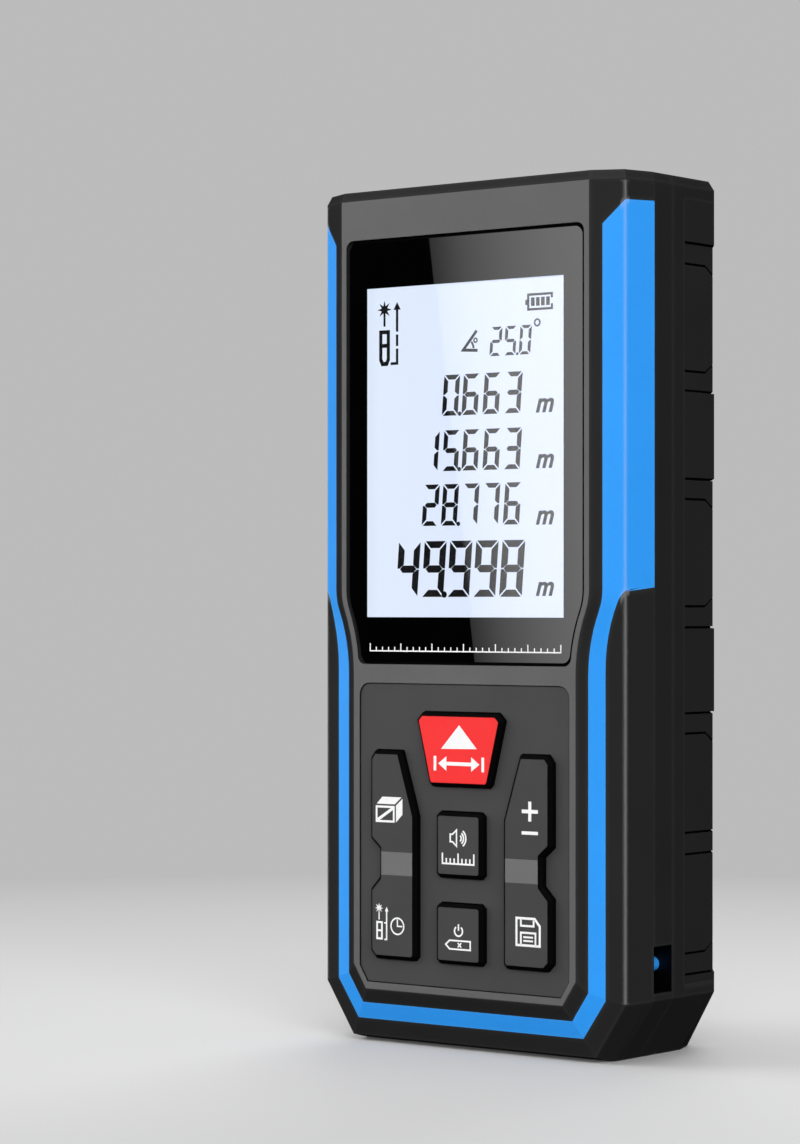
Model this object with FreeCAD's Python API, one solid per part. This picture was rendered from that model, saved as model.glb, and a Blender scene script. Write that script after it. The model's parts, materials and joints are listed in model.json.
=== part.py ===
import FreeCAD, Part
import math
import os

os.makedirs("parts", exist_ok=True)
V = FreeCAD.Vector

# Hand-held laser distance meter.  Millimetres.  The meter stands on its bottom end: +Z is up,
# the display and keys face -Y, +X is the user's right.  The origin is the bottom centre of the
# bounding box.  Depths are counted backwards from the plane of the raised front face.

# ---- driving dimensions ----------------------------------------------------------------------
HEIGHT = 119.0
HALF_WIDTH = 27.0
FRONT_Y = -13.0          # plane of the raised front face (the key tops stand proud of it)
BACK = 27.0              # depth of the back face
PARTING = 11.33          # depth of the joint between the front and rear shells
KEY_PROUD = 0.9
TOP_BEVEL = 1.25         # height of the bevel round the top end
BEVEL_Z = HEIGHT - TOP_BEVEL

# S-shaped waist of the raised front face and the trim around it
WAIST_TOP = 63.3
WAIST_LOW = 51.7
WAIST_SPLIT = 0.2516     # share of the waist's height in its upper, tighter arc

# Front outlines: depth, half width above the waist, half width below it, corner, bottom
FACE = dict(depth=0.0, upper=21.29, lower=19.1, corner=11.0, foot=16.9, bottom=7.58)
RIDGE = dict(depth=0.75, upper=22.8, lower=20.5, corner=9.54, foot=17.94, bottom=5.66)
EDGE = dict(depth=2.15, upper=25.6, lower=25.6, corner=8.1, foot=20.8, bottom=0.8)
SOLE = dict(depth=5.7, upper=26.633, lower=26.633, corner=8.3, foot=21.3, bottom=0.0)
FLANK = dict(depth=6.96, upper=27.0, lower=27.0, corner=8.4, foot=21.4, bottom=0.0)
HEEL = dict(depth=21.4, upper=27.0, lower=27.0, corner=8.4, foot=21.4, bottom=0.0)
REAR_EDGE = dict(depth=25.6, upper=23.9, lower=23.9, corner=7.2, foot=19.8, bottom=0.0)
REAR = dict(depth=BACK, upper=22.9, lower=22.9, corner=7.8, foot=19.25, bottom=1.4)
HULL = [FACE, RIDGE, EDGE, SOLE, FLANK, HEEL, REAR_EDGE, REAR]

WALL = 2.0
KEY_GAP = 0.15           # clearance round the keys in the keypad panel
DOOR_GAP = 0.2

# Raised face: a grey bezel let into the front shell
BEZEL_THICK = 0.3
BEZEL_RIM = 0.08         # width of the shell's edge round it

# Display
WINDOW_UPPER = 20.4
WINDOW_LOWER = 18.17
WINDOW_TOP = 112.15
WINDOW_BOTTOM = 52.95
WINDOW_RECESS = 0.3
WINDOW_THICK = 0.7
WINDOW_GAP = 0.45        # dark joint round the window
LCD_HALF = 17.6
LCD_BOTTOM = 58.2
LCD_TOP = 106.6
LCD_FRONT = 1.2
LCD_THICK = 1.65

# Keypad
PANEL_HALF = 18.0
PANEL_TOP = 50.35
PANEL_BOTTOM = 8.63
PANEL_RECESS = 0.15
PANEL_THICK = 0.8
PANEL_GAP = 0.12         # joint between the keypad panel and the bezel
FLOOR_BACK = 2.4         # depth of the inner side of the front wall
FLANGE_BACK = 3.4
CAP_INSET = 0.65         # from the panel's opening to the hard key top
CAP_SUNK = 0.04          # the hard top sits this far below its rubber rim
STEM_BACK = 5.9
ROCKER_PIVOT_Z = 25.35
READ_POINTS = [(6.5, 46.6), (7.55, 45.5), (5.4, 36.75), (4.85, 36.2)]
ROCKER_POINTS = [
    (-14.85, 41.15), (-10.1, 41.15), (-7.3, 32.1), (-7.3, 12.6), (-7.95, 11.95), (-14.6, 11.95),
    (-15.7, 13.05), (-15.7, 21.8), (-14.1, 23.5), (-14.1, 27.3), (-15.7, 28.7), (-15.7, 40.0),
]

# Circuit board
BOARD_FRONT = 6.6
BOARD_THICK = 1.6
BOARD_BACK = BOARD_FRONT + BOARD_THICK
BOARD_HALF = 20.2
BOARD_BOTTOM = 9.4
BOARD_TOP = 109.4
BOARD_SCREWS = [(18.2, 52.9), (18.5, 22.0)]

# Case screws
CASE_SCREWS = [(17.4, 112.6), (14.5, 6.6)]
SCREW_SEAT = 20.0

# Batteries: AAA cells side by side, one each way up
CELL_R = 5.25
CELL_LENGTH = 43.5
CELL_NUB = 1.0
CELL_X = 6.0
CELL_DEPTH = 19.2
BAY_HALF = 12.6
BAY_FRONT = 13.4
BAY_BOTTOM = 10.4
BAY_TOP = 61.0
DOOR_FRONT = 25.4
DOOR_HALF = 12.9
DOOR_BOTTOM = 10.1
DOOR_TOP = 61.6
LEAD_Z = 17.0            # height of the contact leads that reach the circuit board

# Optics
LASER_X = -9.4
RECEIVER_X = 5.6
OPTIC_DEPTH = 16.2
LASER_BORE = 4.5
RECEIVER_BORE = 7.2

# Lanyard recess in the right side
STRAP_FRONT = 6.85
STRAP_BACK = 10.95
STRAP_BOTTOM = 9.4
STRAP_TOP = 15.6
STRAP_FLOOR = 21.8
POST_X = 24.0
POST_Z = 12.9
POST_R = 1.0

# Rubber grips on the two flanks
GRIP_FRONT = 14.2
GRIP_THICK = 1.7
GRIP_BACK_X = 20.0
GRIP_BOTTOM = 3.2
GRIP_TOP = 115.9
GRIP_SUNK = [(11.1, 46.7), (58.0, 78.4), (90.0, 110.3)]   # stretches between the raised pads
GRIP_SINK = 0.2
# height of each panel line, and which way it bends behind GRIP_BEND (up 1, down -1)
GRIP_LINES = [(14.1, 1), (27.5, 0), (30.4, 0), (43.8, -1), (61.0, 1), (75.5, -1), (92.8, 1), (107.3, -1)]
GRIP_BEND = 19.5
GRIP_SLOPE = 0.62
GROOVE_WIDTH = 0.3
GROOVE_DEEP = 0.3


# ---- helpers ---------------------------------------------------------------------------------
def at(x, depth, z):
    """Point from a width, a depth behind the front face, and a height."""
    return V(x, FRONT_Y + depth, z)


def block(x0, x1, depth0, depth1, z0, z1):
    """Box between two widths, depths and heights."""
    return Part.makeBox(x1 - x0, depth1 - depth0, z1 - z0, at(x0, depth0, z0))


def centred(half, depth0, depth1, z0, z1):
    """Box centred on the meter's middle plane."""
    return block(-half, half, depth0, depth1, z0, z1)


def along_depth(radius, x, z, depth0, depth1):
    """Cylinder that runs front to back."""
    return Part.makeCylinder(radius, depth1 - depth0, at(x, depth0, z), V(0, 1, 0))


def along_height(radius, x, depth, z0, z1):
    """Upright cylinder."""
    return Part.makeCylinder(radius, z1 - z0, at(x, depth, z0), V(0, 0, 1))


def along_width(radius, depth, z, x0, x1):
    """Cylinder that runs left to right."""
    return Part.makeCylinder(radius, x1 - x0, at(x0, depth, z), V(1, 0, 0))


def face_wire(points, depth):
    """Closed wire through (x, z) points at one depth."""
    corners = [at(x, depth, z) for x, z in points]
    return Part.makePolygon(corners + corners[:1])


def prism(points, depth0, depth1):
    """Solid from an (x, z) outline, between two depths."""
    return Part.Face(face_wire(points, depth0)).extrude(V(0, depth1 - depth0, 0))


def column(points, z0, z1):
    """Solid from an (x, depth) outline, between two heights."""
    corners = [at(x, depth, z0) for x, depth in points]
    return Part.Face(Part.makePolygon(corners + corners[:1])).extrude(V(0, 0, z1 - z0))


def mirrored(points):
    """Left-hand copy of an outline, in the same turning direction."""
    return [(-x, z) for x, z in reversed(points)]


def both_sides(points):
    """Outline through right-hand points from top to bottom and their mirror images."""
    return points + mirrored(points)


def grown(points, distance, depth):
    """Wire of an outline moved outwards, or inwards when distance is negative."""
    return face_wire(points, depth).makeOffset2D(distance, 2)


def grown_prism(points, distance, depth0, depth1):
    wire = grown(points, distance, depth0)
    return Part.Face(wire).extrude(V(0, depth1 - depth0, 0))


def union(shapes):
    first, rest = shapes[0], shapes[1:]
    if not rest:
        return first
    return first.fuse(rest).removeSplitter()


def group(shapes):
    return Part.makeCompound(shapes)


def each_side(points):
    """Screw places: every (x, z) and its mirror image."""
    return [(side * x, z) for x, z in points for side in (-1, 1)]


# ---- outer form ------------------------------------------------------------------------------
def waist(upper, lower):
    """Points of the right-hand waist: start, arc middle, join, arc middle, end."""
    drop = WAIST_TOP - WAIST_LOW
    angle = 2 * math.atan2(upper - lower, drop)
    if angle < 1e-6:
        join = (upper, WAIST_TOP - drop * WAIST_SPLIT)
        return [(upper, WAIST_TOP), None, join, None, (lower, WAIST_LOW)]
    reach = drop / math.sin(angle)
    tight = reach * WAIST_SPLIT
    wide = reach - tight

    def on_tight(turn):
        return (upper - tight * (1 - math.cos(turn)), WAIST_TOP - tight * math.sin(turn))

    def on_wide(turn):
        return (lower + wide * (1 - math.cos(turn)), WAIST_LOW + wide * math.sin(turn))

    return [on_tight(0), on_tight(angle / 2), on_tight(angle), on_wide(angle / 2), on_wide(0)]


def side_edges(upper, lower, depth, sign):
    """The two edges of one waist, in the order from top to bottom."""
    start, mid1, join, mid2, end = [p and at(sign * p[0], depth, p[1]) for p in waist(upper, lower)]
    if mid1 is None:
        return [Part.makeLine(start, join), Part.makeLine(join, end)]
    return [Part.Arc(start, mid1, join).toShape(), Part.Arc(join, mid2, end).toShape()]


def outline(upper, lower, depth, top, tail):
    """Closed wire of a waisted front outline.  tail holds the right-hand points below the waist."""
    def points(sign):
        return [at(sign * x, depth, z) for x, z in tail]

    right, left = points(1), points(-1)
    top_right, top_left = at(upper, depth, top), at(-upper, depth, top)
    lower_right, lower_left = at(lower, depth, WAIST_LOW), at(-lower, depth, WAIST_LOW)
    edges = [Part.makeLine(top_right, at(upper, depth, WAIST_TOP))]
    edges += side_edges(upper, lower, depth, 1)
    path = [lower_right] + right + left[::-1] + [lower_left]
    edges += [Part.makeLine(a, b) for a, b in zip(path, path[1:])]
    left_waist = side_edges(upper, lower, depth, -1)
    edges += left_waist[::-1]
    edges.append(Part.makeLine(at(-upper, depth, WAIST_TOP), top_left))
    edges.append(Part.makeLine(top_left, top_right))
    return Part.Wire(Part.sortEdges(edges)[0])


def section(ring, top):
    tail = [(ring["lower"], ring["corner"]), (ring["foot"], ring["bottom"])]
    return outline(ring["upper"], ring["lower"], ring["depth"], top, tail)


def make_hull():
    """The whole outer form: ruled facets between outlines, and a bevelled top end."""
    body = Part.makeLoft([section(ring, BEVEL_Z) for ring in HULL], True, True)
    side = [(r["upper"], r["depth"]) for r in HULL]
    inset = [(21.1, 0.6), (22.55, 1.33), (25.1, 2.6), (26.05, 5.85), (26.4, 7.05), (26.4, 20.9),
             (23.3, 24.6), (22.3, 25.5)]

    def ring(points, z):
        corners = [at(x, depth, z) for x, depth in points + mirrored(points)]
        return Part.makePolygon(corners + corners[:1])

    cap = Part.makeLoft([ring(side, BEVEL_Z), ring(inset, HEIGHT)], True, True)
    return body.fuse(cap)


def front_cavity():
    """Hollow of the front shell."""
    rings = [
        dict(depth=FLOOR_BACK, upper=19.2, lower=19.2, corner=10.6, foot=17.0, bottom=7.3),
        dict(depth=3.9, upper=22.4, lower=22.4, corner=9.0, foot=19.2, bottom=4.2),
        dict(depth=7.0, upper=24.6, lower=24.6, corner=8.4, foot=20.4, bottom=2.1),
        dict(depth=PARTING, upper=24.8, lower=24.8, corner=8.7, foot=20.33, bottom=WALL),
    ]
    tops = [114.6, 116.0, 116.2, 116.2]
    return Part.makeLoft([section(r, t) for r, t in zip(rings, tops)], True, True)


def rear_cavity():
    """Hollow of the rear shell."""
    plan = [(23.4, PARTING), (23.4, 20.0), (20.9, 23.6), (17.9, 23.6), (17.9, 25.2)]
    hollow = column(both_sides(plan), WALL, 116.2)
    front_view = both_sides([(23.4, 116.2), (23.4, 6.6), (20.33, WALL)])
    return hollow.common(prism(front_view, PARTING, 25.2))


# ---- blue trim -------------------------------------------------------------------------------
TRIM_DEEP = 1.0


def trim_region():
    """What the U-shaped trim covers in front view, as a prism through its depth."""
    def turn(centre, radius, start, stop, steps):
        for k in range(steps + 1):
            angle = math.radians(start + (stop - start) * k / steps)
            yield (centre[0] + radius * math.cos(angle), centre[1] + radius * math.sin(angle))

    # lower end of the wide stretch: a wide concave sweep, then a tight one into the edge
    sweep = 25.0
    tight = 3.5
    bend = math.radians(22)
    low = (22.9, 52.4)
    wide_arc = list(turn((low[0] + sweep, low[1]), sweep, 180, 180 - 22, 6))
    tip = wide_arc[-1]
    tight_centre = (tip[0] + tight * math.cos(bend), tip[1] - tight * math.sin(bend))
    tight_arc = list(turn(tight_centre, tight, 180 - 22, 180 - 62, 5))
    right = [(22.85, 111.8), (25.6, 114.95), (28.0, 115.1), (28.0, 63.95), (25.6, 62.95)]
    right += tight_arc[::-1][:-1] + wide_arc[::-1]
    right += [(22.9, 8.6), (19.3, 3.3)]
    outer = prism(both_sides(right), -1.0, FLANK["depth"])
    ridge = section(RIDGE, HEIGHT + 1).makeOffset2D(0.04, 2)
    inner = Part.Face(ridge).extrude(V(0, FLANK["depth"] + 4, 0))
    inner.translate(V(0, -2, 0))
    return outer.cut(inner)


def make_trim(hull):
    """Blue soft trim: a skin of the hull inside the trim's front view."""
    core = hull.translated(V(0, TRIM_DEEP, 0))
    core = core.common(hull.translated(V(0.9, 0, 0))).common(hull.translated(V(-0.9, 0, 0)))
    return hull.common(trim_region()).cut(core)


# ---- display ---------------------------------------------------------------------------------
def window_wire(shrink, depth):
    """Outline of the display window, with rounded corners."""
    upper, lower = WINDOW_UPPER - shrink, WINDOW_LOWER - shrink
    wire = outline(upper, lower, depth, WINDOW_TOP - shrink, [(lower, WINDOW_BOTTOM - 4)])
    rough = Part.Face(wire).extrude(V(0, 1, 0))
    # the outline's tail is cut level, then the four corners are rounded
    rough = rough.cut(centred(30, depth - 1, depth + 2, 0, WINDOW_BOTTOM + shrink))
    corner_edges = [e for e in rough.Edges
                    if abs(e.tangentAt(e.FirstParameter).y) > 0.99
                    and (e.CenterOfMass.z > 100 or e.CenterOfMass.z < 53.5)]
    rounded = rough.makeFillet(1.2, corner_edges)
    front = min(rounded.Faces, key=lambda f: f.CenterOfMass.y)
    return front.OuterWire


def window_solid(shrink, depth0, depth1):
    return Part.Face(window_wire(shrink, depth0)).extrude(V(0, depth1 - depth0, 0))


def display_window():
    return window_solid(WINDOW_GAP, WINDOW_RECESS, WINDOW_RECESS + WINDOW_THICK)


def lcd_aperture(depth0, depth1, grow):
    return centred(LCD_HALF + grow, depth0, depth1, LCD_BOTTOM - grow, LCD_TOP + grow)


def window_gasket():
    back = WINDOW_RECESS + WINDOW_THICK
    return window_solid(0.05, back, back + 0.3).cut(lcd_aperture(0, 3, 0.2))


def lcd_holder():
    """Plastic frame that carries the display glass and its light guide."""
    frame = centred(19.9, FLOOR_BACK, 6.2, 55.8, 109.4)
    frame = frame.cut(lcd_aperture(2.0, 3.0, 0.05))
    frame = frame.cut(centred(18.65, 2.9, 5.1, 60.65, 107.7))
    frame = frame.cut(centred(15.1, 2.5, 6.5, 58.7, 60.4))
    frame = frame.cut(centred(14.0, 5.0, 6.5, 66.0, 102.0))
    pegs = [along_depth(0.8, side * 16.5, z, 6.2, BOARD_BACK) for side in (-1, 1) for z in (63, 105)]
    return union([frame] + pegs)


def lcd_glass():
    return lcd_aperture(LCD_FRONT, LCD_FRONT + LCD_THICK, 0)


def light_guide():
    return centred(18.6, 2.92, 4.6, 60.7, 107.6)


def light_reflector():
    return centred(18.6, 4.6, 5.0, 60.7, 107.6)


def contact_strip():
    return centred(15.0, LCD_FRONT + LCD_THICK, BOARD_FRONT, 58.8, 60.3)


def bezel_blank(rim):
    """Raised face without its openings."""
    wire = section(FACE, BEVEL_Z).makeOffset2D(-rim, 2)
    return Part.Face(wire).extrude(V(0, BEZEL_THICK, 0))


def front_bezel():
    window = window_solid(0, -1, WINDOW_RECESS + WINDOW_THICK)
    return bezel_blank(BEZEL_RIM).cut([window, prism(panel_outline(), -1, PANEL_RECESS + 1)])


# ---- keypad ----------------------------------------------------------------------------------
def box_key_points(half, low, high, corner):
    right = [(half - corner, high), (half, high - corner), (half, low + corner), (half - corner, low)]
    return both_sides(right)


KEY_OUTLINES = {
    "read": both_sides(READ_POINTS),
    "unit": box_key_points(4.15, 23.75, 33.0, 0.6),
    "off_clear": box_key_points(4.15, 11.96, 20.5, 0.6),
    "left_rocker": ROCKER_POINTS,
    "right_rocker": mirrored(ROCKER_POINTS),
}
KEY_STEMS = {
    "read": [(0.0, 41.4)],
    "unit": [(0.0, 28.4)],
    "off_clear": [(0.0, 16.2)],
    "left_rocker": [(-11.2, 35.0), (-11.2, 16.6)],
    "right_rocker": [(11.2, 35.0), (11.2, 16.6)],
}
CAP_BACK = -0.4          # the hard key tops are let into their rubber bodies to this depth
STEM_R = 1.2


def key_cap(name):
    """Hard insert that fills the flat top of a key."""
    return grown_prism(KEY_OUTLINES[name], -CAP_INSET, CAP_SUNK - KEY_PROUD, CAP_BACK)


def key_body(name):
    """Rubber body of a key: bevelled rim, shaft, retaining flange and one stem per switch."""
    points = KEY_OUTLINES[name]
    flange_front = FLOOR_BACK + (0.7 if "rocker" in name else 0.1)
    bevel = CAP_INSET - KEY_GAP
    rim = grown(points, -KEY_GAP, bevel - KEY_PROUD)
    top = grown(points, -CAP_INSET, -KEY_PROUD)
    parts = [Part.makeLoft([rim, top], True, True),
             grown_prism(points, -KEY_GAP, bevel - KEY_PROUD, flange_front + 0.2),
             grown_prism(points, 0.65, flange_front, FLANGE_BACK)]
    parts += [along_depth(STEM_R, x, z, FLANGE_BACK - 0.1, STEM_BACK) for x, z in KEY_STEMS[name]]
    if "rocker" in name:
        x = KEY_STEMS[name][0][0]
        parts.append(along_width(0.5, FLANGE_BACK, ROCKER_PIVOT_Z, x - 2.6, x + 2.6))
    pocket = grown_prism(points, -CAP_INSET, -KEY_PROUD - 1, CAP_BACK)
    return union(parts).cut(pocket)


def contact_pills(name):
    return group([along_depth(STEM_R, x, z, STEM_BACK, STEM_BACK + 0.1) for x, z in KEY_STEMS[name]])


def rocker_bar(name):
    """Grey bar let into the middle of a rocker's top."""
    side = -1 if name == "left_rocker" else 1
    inner, outer = 7.3 + CAP_INSET, 14.1 - CAP_INSET
    x0, x1 = sorted((side * inner, side * outer))
    return block(x0, x1, CAP_SUNK - KEY_PROUD, CAP_SUNK - KEY_PROUD + 0.35, 23.75, 27.0)


def key_openings(grow, depth0, depth1):
    return [grown_prism(points, grow, depth0, depth1) for points in KEY_OUTLINES.values()]


def panel_outline():
    """Keypad recess: rounded above, chamfered below."""
    steps = 5
    radius = 1.7
    arc = []
    for k in range(steps + 1):
        angle = math.radians(90 - 90 * k / steps)
        arc.append((PANEL_HALF - radius + radius * math.cos(angle),
                    PANEL_TOP - radius + radius * math.sin(angle)))
    return both_sides(arc + [(PANEL_HALF, 10.9), (16.6, PANEL_BOTTOM)])


def keypad_panel():
    panel = grown_prism(panel_outline(), -PANEL_GAP, PANEL_RECESS, PANEL_RECESS + PANEL_THICK)
    return panel.cut(key_openings(0.0, -1, 3))


def keypad_mat():
    """Rubber mat under the keys: web, standing rim and the saddles that the rockers tilt on."""
    web_front, web_back = 4.4, 5.2
    web = centred(16.5, web_front, web_back, 9.6, 49.6)
    rim = centred(16.5, web_front, BOARD_FRONT, 9.6, 49.6)
    rim = rim.cut(centred(15.4, web_front - 1, BOARD_FRONT + 1, 10.7, 48.5))
    saddles = [block(x - 2.6, x + 2.6, FLANGE_BACK + 0.55, web_front, 24.35, 26.35)
               for x in (-11.2, 11.2)]
    mat = union([web, rim] + saddles)
    holes = [along_depth(STEM_R + 0.4, x, z, 3, 7) for stems in KEY_STEMS.values() for x, z in stems]
    return mat.cut(holes)


# ---- shells ----------------------------------------------------------------------------------
def upright_edges(solid):
    return [e for e in solid.Edges if abs(e.tangentAt(e.FirstParameter).z) > 0.99]


def optics_opening(grow, z0, z1):
    """Rectangle with rounded corners in the top end, for the end panel."""
    plan = [(16.9 + grow, 8.1 - grow), (16.9 + grow, 21.9 + grow)]
    opening = column(both_sides(plan), z0, z1)
    return opening.makeFillet(1.5 + grow, upright_edges(opening))


def strap_recess():
    return block(STRAP_FLOOR, HALF_WIDTH + 1, STRAP_FRONT, STRAP_BACK, STRAP_BOTTOM, STRAP_TOP)


def lanyard_post():
    return along_depth(POST_R, POST_X, POST_Z, 5.6, 12.8)


def grip_pocket(side):
    """Space that a grip fills: the flank, the rear corner and a strip of the back."""
    floor = HALF_WIDTH - GRIP_THICK
    plan = [(28.0, GRIP_FRONT), (floor, GRIP_FRONT), (floor, 20.9), (22.4, 25.3),
            (GRIP_BACK_X, 25.3), (GRIP_BACK_X, 28.0), (28.0, 28.0)]
    pocket = column([(side * x, depth) for x, depth in plan], GRIP_BOTTOM, GRIP_TOP)
    # clear of the sloping bottom corner by the same wall
    slope = [(28.0, 11.6), (28.0, GRIP_TOP), (GRIP_BACK_X - 1, GRIP_TOP), (GRIP_BACK_X - 1, GRIP_BOTTOM),
             (22.4, GRIP_BOTTOM)]
    return pocket.common(prism([(side * x, z) for x, z in slope], 10, 30))


def sunk_core(sink):
    """The meter's plan with its faces moved inwards, as an upright column."""
    side = [(ring["upper"], ring["depth"]) for ring in HULL]
    corners = [at(x, depth, 0) for x, depth in side + mirrored(side)]
    inner = Part.makePolygon(corners + corners[:1]).makeOffset2D(-sink, 2)
    return Part.Face(inner).extrude(V(0, 0, HEIGHT))


def groove_strip(side, line):
    """Band of GROOVE_WIDTH along a (depth, z) line, right through the flank."""
    half = GROOVE_WIDTH / 2
    edge = [(depth, z + half) for depth, z in line] + [(depth, z - half) for depth, z in line[::-1]]
    corners = [at(side * (GRIP_BACK_X - 1), depth, z) for depth, z in edge]
    return Part.Face(Part.makePolygon(corners + corners[:1])).extrude(V(side * 10, 0, 0))


def make_grip(hull, side):
    """Rubber grip: raised pads between sunk stretches, and fine grooves round the panels."""
    skin = grip_pocket(side).common(hull)
    around = centred(30, GRIP_FRONT - 1, BACK + 1, 0, HEIGHT)
    above_sink = around.cut(sunk_core(GRIP_SINK))
    above_groove = around.cut(sunk_core(GRIP_SINK + GROOVE_DEEP))
    cuts = []
    lines = []
    for low, high in GRIP_SUNK:
        cuts.append(above_sink.common(centred(30, 0, 30, low, high)))
        for z in (low + GROOVE_WIDTH / 2, high - GROOVE_WIDTH / 2):
            lines.append([(GRIP_FRONT - 1, z), (BACK + 1, z)])
    for z, bend in GRIP_LINES:
        run = BACK + 1 - GRIP_BEND
        lines.append([(GRIP_FRONT - 1, z), (GRIP_BEND, z), (BACK + 1, z + bend * GRIP_SLOPE * run)])
    grooves = [above_groove.common(groove_strip(side, line)) for line in lines]
    return skin.cut(cuts).cut(grooves)


# ---- shells: front and rear ------------------------------------------------------------------
def front_shell(hull, trim):
    shell = hull.common(centred(30, -1, PARTING, -1, HEIGHT + 1))
    shell = shell.cut([front_cavity(), centred(20.1, FLOOR_BACK, 6.3, 55.6, 109.6)])
    # bosses and the block round the lanyard recess
    case_screws, board_screws = each_side(CASE_SCREWS), each_side(BOARD_SCREWS)
    added = [along_depth(2.4, x, z, FLOOR_BACK - 0.6, PARTING) for x, z in case_screws]
    added += [along_depth(1.8, x, z, FLOOR_BACK - 0.4, BOARD_FRONT) for x, z in board_screws]
    added.append(block(20.8, 24.9, 5.6, PARTING, 7.9, 17.1))
    shell = shell.fuse(added)
    cuts = [trim, bezel_blank(BEZEL_RIM), strap_recess(), lanyard_post()]
    cuts.append(window_solid(0, -1, WINDOW_RECESS + WINDOW_THICK + 0.3))
    cuts.append(lcd_aperture(0, 4, 0.15))
    cuts.append(prism(panel_outline(), -1, PANEL_RECESS + PANEL_THICK))
    cuts += key_openings(0.15, 0, 4)
    cuts += [along_depth(0.8, x, z, 5.0, PARTING + 1) for x, z in case_screws]
    cuts += [along_depth(0.7, x, z, 3.6, BOARD_FRONT + 1) for x, z in board_screws]
    cuts.append(optics_opening(0.1, 116.0, HEIGHT + 1))
    cuts.append(optics_opening(1.2, 115.3, 116.25))
    return shell.cut(cuts)


def rear_shell(hull):
    shell = hull.common(centred(30, PARTING, BACK + 1, -1, HEIGHT + 1)).cut(rear_cavity())
    tray = centred(BAY_HALF + 1.2, BAY_FRONT - 1.2, 25.3, BAY_BOTTOM - 1.4, BAY_TOP + 2.6)
    bosses = [along_depth(2.6, x, z, PARTING, 25.3) for x, z in each_side(CASE_SCREWS)]
    shell = shell.fuse([tray] + bosses)
    opening = DOOR_HALF + DOOR_GAP
    cuts = [grip_pocket(-1), grip_pocket(1)]
    cuts.append(centred(BAY_HALF, BAY_FRONT, 24.6, BAY_BOTTOM, BAY_TOP))
    cuts.append(centred(12.0, BAY_FRONT, BACK + 1, BAY_BOTTOM + 0.4, BAY_TOP - 0.4))
    cuts.append(centred(opening, DOOR_FRONT, BACK + 1, DOOR_BOTTOM - DOOR_GAP, DOOR_TOP + DOOR_GAP))
    cuts += [block(x0, x0 + 2.6, 23.3, DOOR_FRONT, 58.0, 63.4) for x0 in (-11.1, 8.5)]
    cuts.append(centred(2.6, 23.6, DOOR_FRONT, 8.7, 11.5))
    for x, z in each_side(CASE_SCREWS):
        cuts.append(along_depth(1.2, x, z, PARTING - 1, SCREW_SEAT + 1))
        cuts.append(along_depth(2.1, x, z, SCREW_SEAT, BACK + 1))
    cuts.append(optics_opening(0.1, 116.0, HEIGHT + 1))
    cuts.append(optics_opening(1.2, 115.3, 116.25))
    cuts.append(lanyard_post())
    for side in (-1, 1):
        cuts.append(along_depth(0.9, side * CELL_X, LEAD_Z, BAY_FRONT - 2, BAY_FRONT + 0.5))
    return shell.cut(cuts)


# ---- battery compartment ---------------------------------------------------------------------
def door_ribs():
    """Raised finger ribs near the door's latch end."""
    return [centred(5.0, BACK - 0.65, BACK - 0.15, z, z + 0.7) for z in (12.6, 14.2, 15.8, 17.4)]


def battery_door():
    slab = centred(DOOR_HALF, DOOR_FRONT, BACK, DOOR_BOTTOM, DOOR_TOP)
    scoop = centred(6.0, BACK - 0.6, BACK + 1, 11.6, 19.2)
    tabs = [block(x0, x0 + 2.0, 24.1, 25.1, DOOR_TOP - 1.4, DOOR_TOP + 1.4) for x0 in (-10.8, 8.8)]
    roots = [block(x0, x0 + 2.0, 24.1, DOOR_FRONT + 0.1, DOOR_TOP - 1.4, DOOR_TOP - 0.4)
             for x0 in (-10.8, 8.8)]
    return union([slab.cut(scoop)] + door_ribs() + tabs + roots)


def door_latch():
    """Springy tongue whose tooth catches under the rear shell."""
    foot = centred(2.2, 24.0, DOOR_FRONT, 12.4, 14.0)
    arm = centred(2.2, 24.0, 24.8, 9.1, 14.0)
    tooth = centred(2.2, 24.0, 25.2, 9.1, 9.9)
    return union([foot, arm, tooth])


def battery_foam():
    return centred(8.0, 24.55, DOOR_FRONT, 30.0, 44.0)


def cell(x, nub_up):
    """AAA cell, with its nub up or down."""
    low = 15.0 if nub_up else 13.0
    can = along_height(CELL_R, x, CELL_DEPTH, low, low + CELL_LENGTH)
    edge = [e for e in can.Edges if len(e.Vertexes) == 1]
    can = can.makeFillet(0.5, edge)
    start = low + CELL_LENGTH if nub_up else low - CELL_NUB
    return can.fuse(along_height(1.9, x, CELL_DEPTH, start, start + CELL_NUB)).removeSplitter()


def contact_spring(x, z0, z1):
    """Conical coil of round wire."""
    wire_r = 0.35
    height = z1 - z0 - 2 * wire_r
    helix = Part.makeHelix(height / 3.5, height, 2.4)
    helix.translate(at(x, CELL_DEPTH, z0 + wire_r))
    start = helix.Edges[0].valueAt(helix.Edges[0].FirstParameter)
    tangent = helix.Edges[0].tangentAt(helix.Edges[0].FirstParameter)
    circle = Part.Wire([Part.makeCircle(wire_r, start, tangent)])
    return Part.Wire(helix).makePipeShell([circle], True, True)


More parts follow.
